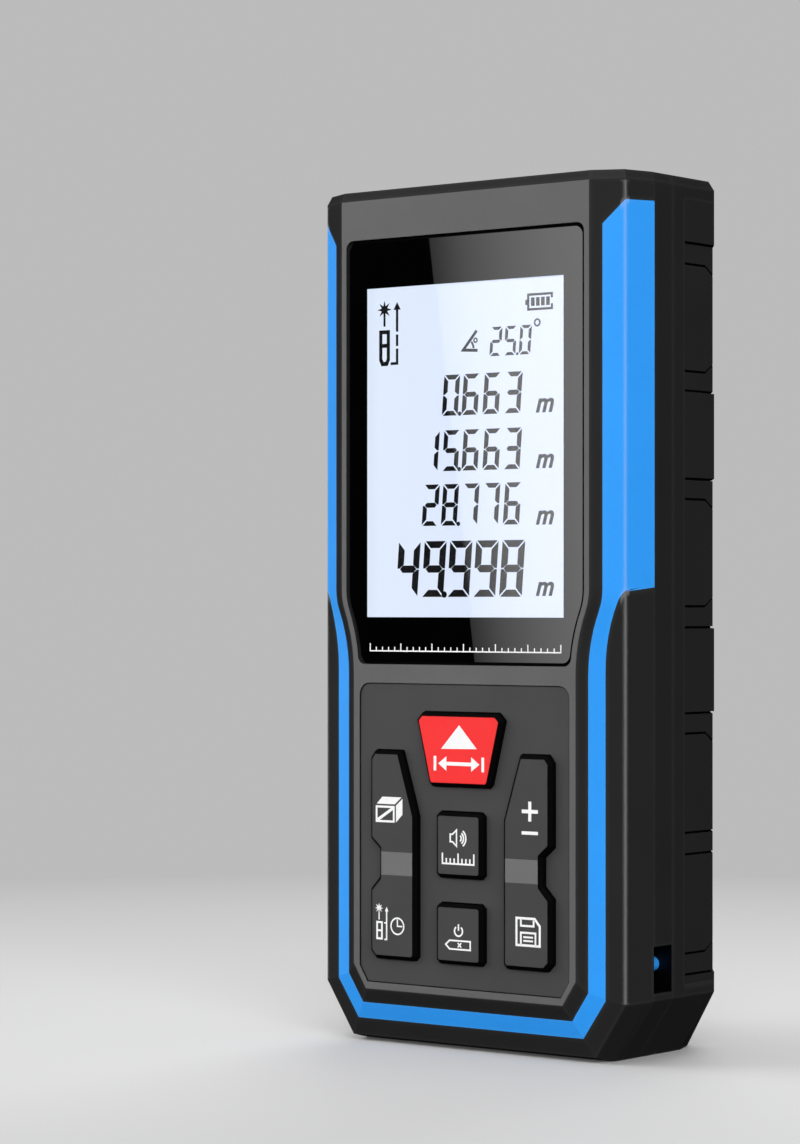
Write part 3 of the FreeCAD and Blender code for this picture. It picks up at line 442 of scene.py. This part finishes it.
FINISHES = {
    "shell_black": black_shell,
    "trim_blue": blue_trim,
    "grip_rubber": grip_rubber,
    "window_acrylic": window_acrylic,
    "foam_black": foam_black,
    "lcd_glass": lcd_glass,
    "holder_white": holder_white,
    "light_guide_acrylic": light_guide,
    "reflector_film": reflector_film,
    "contact_rubber": contact_rubber,
    "bezel_grey": bezel_grey,
    "panel_grey": panel_grey,
    "key_rubber": key_rubber,
    "key_red": key_red,
    "key_grey": key_grey,
    "key_bar_grey": key_bar,
    "board_green": board_green,
    "chip_black": chip_black,
    "steel_can": lambda: metal("steel_can", (0.55, 0.55, 0.55, 1), 0.28),
    "chassis_alloy": lambda: metal("chassis_alloy", (0.36, 0.36, 0.37, 1), 0.42, grain=0.3, grain_depth=0.02),
    "brass": lambda: metal("brass", (0.72, 0.5, 0.2, 1), 0.25, along=(1, 1, 12)),
    "lens_glass": lambda: plain_glass("lens_glass", (0.75, 0.85, 0.9, 1)),
    "red_glass": lambda: plain_glass("red_glass", (0.35, 0.015, 0.02, 1)),
    "cell_jacket": cell_jacket,
    "spring_steel": lambda: metal("spring_steel", (0.62, 0.6, 0.54, 1), 0.22),
    "screw_steel": lambda: metal("screw_steel", (0.09, 0.09, 0.095, 1), 0.35, grain=0.1),
}


def dress_cad_nodes():
    """Every CAD node takes the finish of its material slot in the record."""
    made = {}
    for part in frame["record"]["subparts"]:
        slot = part["material_slot"]
        if slot not in made:
            made[slot] = FINISHES[slot]()
        for name in part.get("nodes", [part.get("node")]):
            node = frame["nodes"][name]
            node.data.materials.clear()
            node.data.materials.append(made[slot])


dress_cad_nodes()


# ---------------------------------------------------------------- printed and displayed marks

DRAFT_DEPTH = 0.5
SIZE_TO_HEIGHT = 1.98    # a font's size over the height of its small letters
STROKE_GAIN = 0.05       # how much heavier the letters are drawn, as a share of that height


class Marks:
    """Flat marks on one plane: shapes in mm, each of an outline and its holes, made into one thin mesh."""

    def __init__(self, shift=0.0):
        self.shapes = []
        self.meshes = []
        self.shift = shift

    def area(self, *loops):
        """A filled outline; further loops are holes in it."""
        self.shapes.append([[(x + self.shift, z) for x, z in loop] for loop in loops])

    def rectangle(self, x0, z0, x1, z1):
        self.area(corners(x0, z0, x1, z1))

    def frame(self, x0, z0, x1, z1, width):
        self.area(corners(x0, z0, x1, z1), corners(x0 + width, z0 + width, x1 - width, z1 - width))

    def line(self, points, width):
        """A drawn line with mitred corners."""
        self.area(stroke(points, width))

    def ring(self, x, z, radius, width, sides=36):
        self.area(circle(x, z, radius, sides), circle(x, z, radius - width, sides))

    def text(self, words, x, z, height, slant):
        """Text from its lower left corner, with small letters of that height."""
        font = bpy.data.curves.new("text", "FONT")
        font.body = words
        font.size = height * SIZE_TO_HEIGHT * MM
        font.shear = slant
        font.offset = STROKE_GAIN * height * MM
        font.extrude = DRAFT_DEPTH * MM
        holder = bpy.data.objects.new("text", font)
        bpy.context.scene.collection.objects.link(holder)
        mesh = flat_mesh(holder)
        bpy.data.objects.remove(holder)
        for vertex in mesh.vertices:
            vertex.co.x += (x + self.shift) * MM
            vertex.co.y += z * MM
        self.meshes.append(mesh)

    def finish(self, name, depth, thickness, body, material):
        """The marks as one piece, their faces that far behind the row frame's front plane."""
        for loops in self.shapes:
            curve = bpy.data.curves.new("shape", "CURVE")
            curve.dimensions = "2D"
            curve.fill_mode = "BOTH"
            curve.extrude = DRAFT_DEPTH * MM
            for loop in loops:
                spline = curve.splines.new("POLY")
                spline.points.add(len(loop) - 1)
                for point, (x, z) in zip(spline.points, loop):
                    point.co = (x * MM, z * MM, 0, 1)
                spline.use_cyclic_u = True
            holder = bpy.data.objects.new("shape", curve)
            bpy.context.scene.collection.objects.link(holder)
            self.meshes.append(flat_mesh(holder))
            bpy.data.objects.remove(holder)
        joined = bmesh.new()
        for mesh in self.meshes:
            joined.from_mesh(mesh)
            bpy.data.meshes.remove(mesh)
        front = (FRONT + depth) * MM
        for vertex in joined.verts:
            behind = 0.0 if vertex.co.z > 0 else thickness * MM
            vertex.co = (vertex.co.x, front + behind, vertex.co.y)
        mesh = bpy.data.meshes.new(name)
        joined.to_mesh(mesh)
        joined.free()
        mesh.materials.append(material)
        piece = bpy.data.objects.new(name, mesh)
        bpy.context.scene.collection.objects.link(piece)
        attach(piece, body)


def flat_mesh(holder):
    """The mesh of a curve or text object, welded into closed solids."""
    graph = bpy.context.evaluated_depsgraph_get()
    mesh = bpy.data.meshes.new_from_object(holder.evaluated_get(graph))
    work = bmesh.new()
    work.from_mesh(mesh)
    bmesh.ops.remove_doubles(work, verts=work.verts, dist=0.0005 * MM)
    bmesh.ops.recalc_face_normals(work, faces=work.faces)
    work.to_mesh(mesh)
    work.free()
    return mesh


def corners(x0, z0, x1, z1):
    return [(x0, z0), (x1, z0), (x1, z1), (x0, z1)]


def circle(x, z, radius, sides=36):
    turns = [2 * math.pi * k / sides for k in range(sides)]
    return [(x + radius * math.cos(a), z + radius * math.sin(a)) for a in turns]


def arc(x, z, radius, start, end, steps=12):
    """Points along an arc between two angles in degrees."""
    turns = [math.radians(start + (end - start) * k / steps) for k in range(steps + 1)]
    return [(x + radius * math.cos(a), z + radius * math.sin(a)) for a in turns]


def stroke(points, width):
    """The outline of an open line of that width, mitred where it bends."""
    left, right = [], []
    for k, (x, z) in enumerate(points):
        normals = []
        for a, b in ((k - 1, k), (k, k + 1)):
            if a >= 0 and b < len(points):
                dx, dz = points[b][0] - points[a][0], points[b][1] - points[a][1]
                size = math.hypot(dx, dz)
                normals.append((-dz / size, dx / size))
        nx = sum(n[0] for n in normals) / len(normals)
        nz = sum(n[1] for n in normals) / len(normals)
        reach = width / 2 / (nx * nx + nz * nz)
        left.append((x + nx * reach, z + nz * reach))
        right.append((x - nx * reach, z - nz * reach))
    return left + right[::-1]


def comb(x0, x1, base, foot, intervals, minor, major, every, width):
    """A ruled scale: a base line with upright ticks, and a taller one at each step of every."""
    top = base + foot
    loop = [(x0, base), (x1, base)]
    for k in range(intervals, -1, -1):
        x = x0 + (x1 - x0 - width) * k / intervals
        height = major if k % every == 0 else minor
        if k < intervals:
            loop.append((x + width, top))
        loop += [(x + width, height), (x, height)]
        if k > 0:
            loop.append((x, top))
    return loop


# the bars that each digit lights: a at the top, then clockwise to f, and g across the middle
SEGMENTS = {
    "0": "abcdef", "1": "bc", "2": "abged", "3": "abgcd", "4": "fgbc",
    "5": "afgcd", "6": "afgecd", "7": "abc", "8": "abcdefg", "9": "abcdfg",
}


def segment(letter, w, h, t, g):
    """One bar of a seven-bar digit that is w wide and h high, with bars t thick and gaps of g."""
    m = h / 2
    if letter == "g":
        low, high, end = m - 0.47 * t, m + 0.47 * t, 0.35 * t + 0.5 * g
        return [(end, m), (end + 0.45 * t, high), (w - end - 0.45 * t, high), (w - end, m),
                (w - end - 0.45 * t, low), (end + 0.45 * t, low)]
    if letter in "ad":
        bar = [(g, h), (w - g, h), (w - g - 0.9 * t, h - 0.9 * t), (g + 0.9 * t, h - 0.9 * t)]
    else:
        bar = [(0, h - g), (t, h - g - t), (t, m + t / 2 + 0.7 * g), (0.35 * t, m + 0.5 * g),
               (0, m + 0.5 * g)]
    if letter in "bc":
        bar = [(w - x, z) for x, z in bar]
    if letter in "dec":
        bar = [(x, h - z) for x, z in bar]
    return bar


def digit(marks, value, right, foot, w, h, t, slant=0.08, gap=0.16):
    """A seven-bar digit whose top right corner is at right."""
    left = right - w - slant * h
    for letter in SEGMENTS[value]:
        bar = segment(letter, w, h, t, gap)
        marks.area([(left + x + slant * z, foot + z) for x, z in bar])


def reading(marks, text, rights, foot, height, w, t, dot):
    """A row of digits and their decimal point."""
    for value, right in zip(text, rights):
        digit(marks, value, right, foot, w, height, t)
    marks.area(circle(dot, foot + 0.3 * t, 0.42 * t, 16))


def star(marks, x, z, radius, width):
    """A star of eight points; width is the reach of the notches between them, as a share of the radius."""
    loop = []
    for k in range(16):
        angle = 2 * math.pi * k / 16
        reach = radius if k % 2 == 0 else radius * width
        loop.append((x + reach * math.cos(angle), z + reach * math.sin(angle)))
    marks.area(loop)


def cross(x, z, reach, width, turn=45.0):
    """A plus sign, or with its turn a multiplication sign."""
    half = width / 2
    arm = [(reach, -half), (reach, half), (half, half)]
    loop = []
    for k in range(4):
        angle = math.radians(turn + 90 * k)
        c, s = math.cos(angle), math.sin(angle)
        loop += [(x + c * a - s * b, z + s * a + c * b) for a, b in arm]
    return loop


def ink(name, colour, roughness, wear):
    """Screen-printed ink: an even colour with pinholes and slightly uneven cover."""
    tree = Tree(name)
    cover = tree.noise(0.5, detail=3.0, seed=8.0)
    tone = tree.blend(tree.spread(cover, 0.0, 1.0), shade(colour, 1 - wear), colour)
    tree.set(tree.shader, "Base Color", tone)
    tree.set(tree.shader, "Roughness", tree.spread(tree.noise(1.4), roughness, roughness + 0.1))
    tree.set(tree.shader, "Normal", tree.relief(tree.noise(0.08), 0.002, 0.5))
    tree.shader.inputs["Specular IOR Level"].default_value = 0.2
    return tree.material


FRONT = -13.0            # the row frame's front plane, Y in mm
DISPLAY_SHIFT = -0.6     # the display lies behind the window, so its marks sit a little to the left


def display_marks():
    """What the display shows: four distances, their units, an angle, the cell gauge, the laser's state."""
    dark = ink("display_ink", (0.006, 0.006, 0.007, 1), 0.5, 0.3)
    depth, thick = 1.14, 0.03       # just in front of the display's glass
    digits = Marks(DISPLAY_SHIFT)
    reading(digits, "0663", (-0.58, 2.81, 6.40, 10.06), 87.2, 5.6, 2.72, 0.72, -0.68)
    reading(digits, "15663", (-4.1, -0.58, 2.81, 6.40, 9.95), 79.6, 5.6, 2.72, 0.72, -0.75)
    reading(digits, "28776", (-4.1, -0.75, 2.75, 6.3, 9.88), 72.1, 5.7, 2.72, 0.72, -0.9)
    reading(digits, "49998", (-7.45, -2.92, 1.53, 6.00, 10.49), 62.3, 7.7, 3.8, 1.08, -3.35)
    reading(digits, "250", (6.65, 9.1, 11.6), 95.05, 3.95, 1.9, 0.46, 9.13)
    digits.ring(12.48, 99.25, 0.56, 0.24)
    digits.finish("display_digits", depth, thick, "case", dark)

    units = Marks(DISPLAY_SHIFT)
    for foot in (87.2, 79.7, 72.1, 62.5):
        units.text("m", 12.15, foot, 1.9, 0.28)
    units.finish("display_units", depth, thick, "case", dark)

    signs = Marks(DISPLAY_SHIFT)
    star(signs, -13.86, 102.35, 1.25, 0.42)
    signs.rectangle(-14.03, 100.0, -13.69, 101.9)
    signs.area([(-14.8, 95.3), (-14.4, 94.5), (-13.3, 94.5), (-12.9, 95.3), (-12.9, 99.5), (-14.8, 99.5)],
               corners(-14.25, 97.6, -13.45, 98.95),
               [(-14.25, 95.5), (-14.05, 95.1), (-13.65, 95.1), (-13.45, 95.5), (-13.45, 97.05),
                (-14.25, 97.05)])
    signs.area([(-11.62, 103.3), (-12.25, 102.25), (-11.82, 102.25), (-11.82, 99.2), (-11.42, 99.2),
                (-11.42, 102.25), (-10.99, 102.25)])
    signs.rectangle(-11.82, 97.2, -11.42, 98.8)
    signs.area([(-12.75, 94.6), (-11.42, 94.6), (-11.42, 96.85), (-11.82, 96.85), (-11.82, 94.98),
                (-12.75, 94.98)])
    signs.area([(10.5, 101.7), (10.8, 101.7), (10.8, 100.9), (15.08, 100.9), (15.08, 101.7), (14.75, 101.7),
                (14.75, 101.22), (11.15, 101.22), (11.15, 102.9), (14.75, 102.9), (14.75, 102.5),
                (15.08, 102.5), (15.08, 103.22), (10.8, 103.22), (10.8, 102.4), (10.5, 102.4)])
    for x in (11.74, 12.58, 13.42, 14.26):
        signs.rectangle(x - 0.29, 101.5, x + 0.29, 102.65)
    signs.line([(2.25, 98.65), (-0.05, 96.1), (2.4, 95.95)], 0.42)
    signs.line(arc(0.0, 96.05, 1.75, 8, 40, 6), 0.3)
    signs.ring(2.05, 97.35, 0.38, 0.2, 20)
    signs.finish("display_signs", depth, thick, "case", dark)


def window_scale(white):
    """A ruled scale printed along the window's foot."""
    scale = Marks()
    scale.area(comb(-16.4, 16.5, 54.72, 0.17, 30, 55.37, 55.85, 5, 0.17))
    scale.finish("window_scale", 0.275, 0.025, "case", white)


def key_marks(white):
    """Pictograms on the hard tops of the keys."""
    top, thick = -0.885, 0.025      # on the keys' hard tops, which stand proud of the front plane
    shift = -0.1

    read = Marks(shift)
    read.area([(0.28, 44.8), (-2.81, 41.5), (3.30, 41.6)])
    read.rectangle(-4.1, 38.5, -3.65, 40.5)
    read.rectangle(4.1, 38.5, 4.55, 40.5)
    read.area([(-3.3, 39.5), (-1.9, 40.5), (-1.9, 39.75), (2.35, 39.75), (2.35, 40.5), (3.75, 39.5),
               (2.35, 38.5), (2.35, 39.25), (-1.9, 39.25), (-1.9, 38.5)])
    read.finish("read_mark", top, thick, "read_key", white)

    unit = Marks(shift)
    unit.area([(-1.36, 28.75), (-0.9, 28.75), (-0.05, 28.05), (-0.05, 30.7), (-0.9, 30.0), (-1.36, 30.0)],
              [(-1.12, 28.98), (-0.82, 28.98), (-0.27, 28.5), (-0.27, 30.25), (-0.82, 29.77), (-1.12, 29.77)])
    for radius in (0.45, 0.85, 1.25):
        unit.line(arc(0.2, 29.37, radius, -55, 55, 8), 0.23)
    unit.area(comb(-2.71, 2.92, 25.73, 0.24, 8, 26.6, 27.3, 4, 0.24))
    unit.finish("unit_mark", top, thick, "unit_key", white)

    off = Marks(shift)
    off.line(arc(0.18, 16.7, 0.68, 128, 412, 24), 0.24)
    off.rectangle(0.06, 16.75, 0.3, 17.65)
    off.area([(-2.2, 14.8), (-1.4, 14.1), (2.3, 14.1), (2.3, 15.5), (-1.4, 15.5)],
             [(-1.84, 14.8), (-1.3, 14.33), (2.07, 14.33), (2.07, 15.27), (-1.3, 15.27)])
    off.area(cross(0.35, 14.8, 0.42, 0.2))
    off.finish("off_clear_mark", top, thick, "off_clear_key", white)

    left = Marks(shift)
    left.area(corners(-14.29, 31.05, -10.95, 33.36),
              [(-13.99, 31.6), (-13.99, 33.06), (-11.6, 33.06)],
              [(-13.6, 31.35), (-11.25, 32.8), (-11.25, 31.35)])
    left.area([(-14.1, 33.6), (-10.9, 33.6), (-9.75, 34.6), (-13.1, 34.6)])
    left.area([(-10.7, 31.1), (-9.57, 32.2), (-9.57, 34.4), (-10.7, 33.42)])
    star(left, -13.7, 19.1, 0.72, 0.42)
    left.rectangle(-13.8, 17.5, -13.6, 18.9)
    left.area(corners(-14.2, 14.75, -13.05, 17.3), corners(-13.91, 16.15, -13.34, 17.02),
              corners(-13.91, 15.04, -13.34, 15.88))
    left.area([(-12.75, 14.7), (-12.25, 14.7), (-12.25, 18.7), (-12.05, 18.7), (-12.35, 19.35),
               (-12.65, 18.7), (-12.47, 18.7), (-12.47, 17.2), (-12.8, 17.2), (-12.8, 17.0), (-12.47, 17.0),
               (-12.47, 14.92), (-12.75, 14.92)])
    left.ring(-10.46, 16.75, 1.23, 0.22)
    left.line([(-10.46, 17.7), (-10.46, 16.75), (-9.6, 16.75)], 0.2)
    left.finish("left_rocker_mark", top, thick, "left_rocker_key", white)

    right = Marks(shift)
    right.area(cross(12.22, 33.47, 1.33, 0.5, 0.0))
    right.rectangle(10.87, 30.35, 13.57, 30.8)
    right.area([(9.84, 15.3), (14.04, 15.3), (14.04, 18.2), (13.1, 19.26), (9.84, 19.26)],
               [(10.17, 15.63), (13.71, 15.63), (13.71, 18.05), (12.95, 18.93), (10.17, 18.93)])
    right.area([(10.6, 19.0), (10.6, 17.95), (13.0, 17.95), (13.0, 18.85), (12.72, 18.9), (12.72, 18.23),
                (10.88, 18.23), (10.88, 19.0)])
    right.area([(10.6, 15.5), (10.6, 17.3), (13.3, 17.3), (13.3, 15.5), (13.02, 15.5), (13.02, 17.02),
                (10.88, 17.02), (10.88, 15.5)])
    right.rectangle(11.15, 16.45, 12.75, 16.7)
    right.rectangle(11.15, 15.95, 12.75, 16.2)
    right.finish("right_rocker_mark", top, thick, "right_rocker_key", white)


def make_marks():
    white = ink("print_white", (0.95, 0.95, 0.95, 1), 0.5, 0.05)
    display_marks()
    window_scale(white)
    key_marks(white)


make_marks()


# ---------------------------------------------------------------- floor, light, camera

BACKDROP = 0.5           # the backdrop's grey
FLOOR_RADIUS = 4.0       # metres
FLOOR_TONE = 0.66
FADE_START = 0.04        # the floor turns into the backdrop's grey between these distances, in metres
FADE_END = 0.3
FILL_BELOW = 0.05        # the world's soft light from under and over the horizon
FILL_ABOVE = 0.27
DARK_ROOM = 0.012        # what polished faces mirror besides the lamps and the panel
HORIZON_BLUR = 0.3       # how far the two fills run into each other


def make_floor():
    """A pale floor that fades to the backdrop's grey away from the object."""
    rings, sides = 24, 64
    points = [(0.0, 0.0, 0.0)]
    faces = []
    for ring in range(1, rings + 1):
        reach = FLOOR_RADIUS * (ring / rings) ** 2
        for side in range(sides):
            angle = 2 * math.pi * side / sides
            points.append((reach * math.cos(angle), reach * math.sin(angle), 0.0))
    for side in range(sides):
        after = (side + 1) % sides
        faces.append((0, 1 + side, 1 + after))
        for ring in range(rings - 1):
            inner = 1 + ring * sides
            outer = inner + sides
            faces.append((inner + side, outer + side, outer + after, inner + after))
    mesh = bpy.data.meshes.new("floor")
    mesh.from_pydata(points, [], faces)
    floor = bpy.data.objects.new("floor", mesh)
    floor.location.z = cad_box[0].z
    bpy.context.scene.collection.objects.link(floor)
    floor.visible_diffuse = False
    floor.visible_glossy = False
    tree = Tree("floor_pale")
    length = tree.nodes.new("ShaderNodeVectorMath")
    length.operation = "LENGTH"
    tree.links.new(tree.place, length.inputs[0])
    near = tree.shader
    near.inputs["Base Color"].default_value = (FLOOR_TONE, FLOOR_TONE, FLOOR_TONE, 1)
    near.inputs["Emission Color"].default_value = (1, 1, 1, 1)
    near.inputs["Emission Strength"].default_value = 0.03
    near.inputs["Roughness"].default_value = 0.6
    near.inputs["Specular IOR Level"].default_value = 0.1
    far = tree.add("ShaderNodeEmission", Color=(BACKDROP, BACKDROP, BACKDROP, 1))
    mix = tree.nodes.new("ShaderNodeMixShader")
    fade = tree.spread(length.outputs["Value"], 0.0, 1.0, FADE_START, FADE_END)
    tree.links.new(fade, mix.inputs["Fac"])
    tree.links.new(near.outputs[0], mix.inputs[1])
    tree.links.new(far.outputs[0], mix.inputs[2])
    tree.links.new(mix.outputs[0], tree.output.inputs["Surface"])
    mesh.materials.append(tree.material)


def make_world():
    """Soft light from above the horizon; the camera sees a plain grey, and polished faces a dark room."""
    world = bpy.data.worlds.new("studio")
    bpy.context.scene.world = world
    world.use_nodes = True
    nodes, links = world.node_tree.nodes, world.node_tree.links

    def light(strength):
        background = nodes.new("ShaderNodeBackground")
        background.inputs["Color"].default_value = (1, 1, 1, 1)
        background.inputs["Strength"].default_value = strength
        return background

    def mixed(share, first, second):
        mix = nodes.new("ShaderNodeMixShader")
        links.new(share, mix.inputs["Fac"])
        links.new(first.outputs[0], mix.inputs[1])
        links.new(second.outputs[0], mix.inputs[2])
        return mix

    height = nodes.new("ShaderNodeSeparateXYZ")
    links.new(nodes.new("ShaderNodeTexCoord").outputs["Generated"], height.inputs["Vector"])
    rise = nodes.new("ShaderNodeMapRange")
    rise.inputs["From Min"].default_value = -HORIZON_BLUR
    rise.inputs["From Max"].default_value = HORIZON_BLUR
    links.new(height.outputs["Z"], rise.inputs["Value"])
    path = nodes.new("ShaderNodeLightPath")
    fill = mixed(rise.outputs["Result"], light(FILL_BELOW), light(FILL_ABOVE))
    mirrored = mixed(path.outputs["Is Glossy Ray"], fill, light(DARK_ROOM))
    seen = mixed(path.outputs["Is Camera Ray"], mirrored, light(BACKDROP))
    links.new(seen.outputs[0], nodes["World Output"].inputs["Surface"])
    nodes.remove(nodes["Background"])


def softbox(name, place, target, width, height, power, mirrored=True):
    light = bpy.data.lights.new(name, "AREA")
    light.shape = "RECTANGLE"
    light.size, light.size_y = width, height
    light.energy = power
    lamp = bpy.data.objects.new(name, light)
    lamp.location = place
    lamp.rotation_euler = (Vector(target) - Vector(place)).to_track_quat("-Z", "Y").to_euler()
    lamp.visible_glossy = mirrored
    bpy.context.scene.collection.objects.link(lamp)


def make_lights():
    middle = (cad_box[0] + cad_box[1]) / 2
    softbox("left_light", (-1.04, -0.46, 0.35), middle, 0.9, 0.9, 12.5, mirrored=False)
    softbox("right_light", (0.86, -0.8, 0.35), middle, 0.9, 0.9, 15.8, mirrored=False)
    softbox("back_light", (-0.5, 1.1, 0.6), middle, 0.9, 0.9, 11.0, mirrored=False)
    softbox("overhead", (0.0, -0.1, 1.1), middle, 1.2, 1.2, 4.0)


# What the window mirrors: a soft panel whose left edge crosses it on a slant.
# In mm on the window: the edge's X at the window's middle height, its drift per mm of height,
# and the panel's brightness at growing distances to the right of that edge.
MIRRORED_EDGE = -1.9
MIRRORED_MIDDLE = 82.0
MIRRORED_DRIFT = -0.135
MIRRORED_STEPS = [(0.0, 0.85), (2.0, 1.3), (5.7, 2.2), (12.8, 3.4), (20.0, 4.3), (26.6, 4.7), (45.0, 4.8)]
MIRRORED_SPAN = (20.0, 140.0)    # the heights on the window, in mm, that the panel covers
PANEL_Y = -0.6                   # where the panel stands, in metres


def make_reflection():
    """A graded panel far in front, placed where the camera finds it mirrored in the window."""
    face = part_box("display_window")[0].y
    camera = bpy.context.scene.camera.location
    mirrored = Vector((camera.x, 2 * face - camera.y, camera.z))
    grow = (mirrored.y - PANEL_Y) / (mirrored.y - face)

    def beyond(x, z):
        """Where the line from the mirrored camera through a point of the window, in mm, meets the panel."""
        return (mirrored.x + (x * MM - mirrored.x) * grow, PANEL_Y,
                mirrored.z + (z * MM - mirrored.z) * grow)

    points, faces = [], []
    for away, _ in MIRRORED_STEPS:
        for z in MIRRORED_SPAN:
            points.append(beyond(MIRRORED_EDGE + MIRRORED_DRIFT * (z - MIRRORED_MIDDLE) + away, z))
    for k in range(len(MIRRORED_STEPS) - 1):
        faces.append((2 * k, 2 * k + 1, 2 * k + 3, 2 * k + 2))
    mesh = bpy.data.meshes.new("reflected_panel")
    mesh.from_pydata(points, [], faces)
    colours = mesh.color_attributes.new("glow", "FLOAT_COLOR", "POINT")
    for k in range(len(points)):
        level = MIRRORED_STEPS[k // 2][1]
        colours.data[k].color = (level, level, level, 1)
    panel = bpy.data.objects.new("reflected_panel", mesh)
    bpy.context.scene.collection.objects.link(panel)
    panel.visible_camera = False
    panel.visible_diffuse = False
    panel.visible_transmission = False
    panel.visible_shadow = False
    tree = Tree("reflected_glow")
    glow = tree.nodes.new("ShaderNodeVertexColor")
    glow.layer_name = "glow"
    lamp = tree.add("ShaderNodeEmission", Color=glow.outputs["Color"])
    tree.links.new(lamp.outputs[0], tree.output.inputs["Surface"])
    mesh.materials.append(tree.material)


def make_camera():
    """The camera stands to the right of the front face, level with the middle of the case."""
    data = bpy.data.cameras.new("camera")
    camera = bpy.data.objects.new("camera", data)
    camera.location = (0.28183, -0.38219, 0.06132)
    camera.rotation_euler = (math.pi / 2, 0, math.radians(38.4))
    data.lens = 107.0
    data.sensor_width = 36.0
    data.shift_y = 0.028
    data.clip_start, data.clip_end = 0.01, 20.0
    bpy.context.scene.collection.objects.link(camera)
    bpy.context.scene.camera = camera


make_floor()
make_world()
make_lights()
make_camera()
make_reflection()
bpy.context.scene.view_settings.view_transform = "Standard"
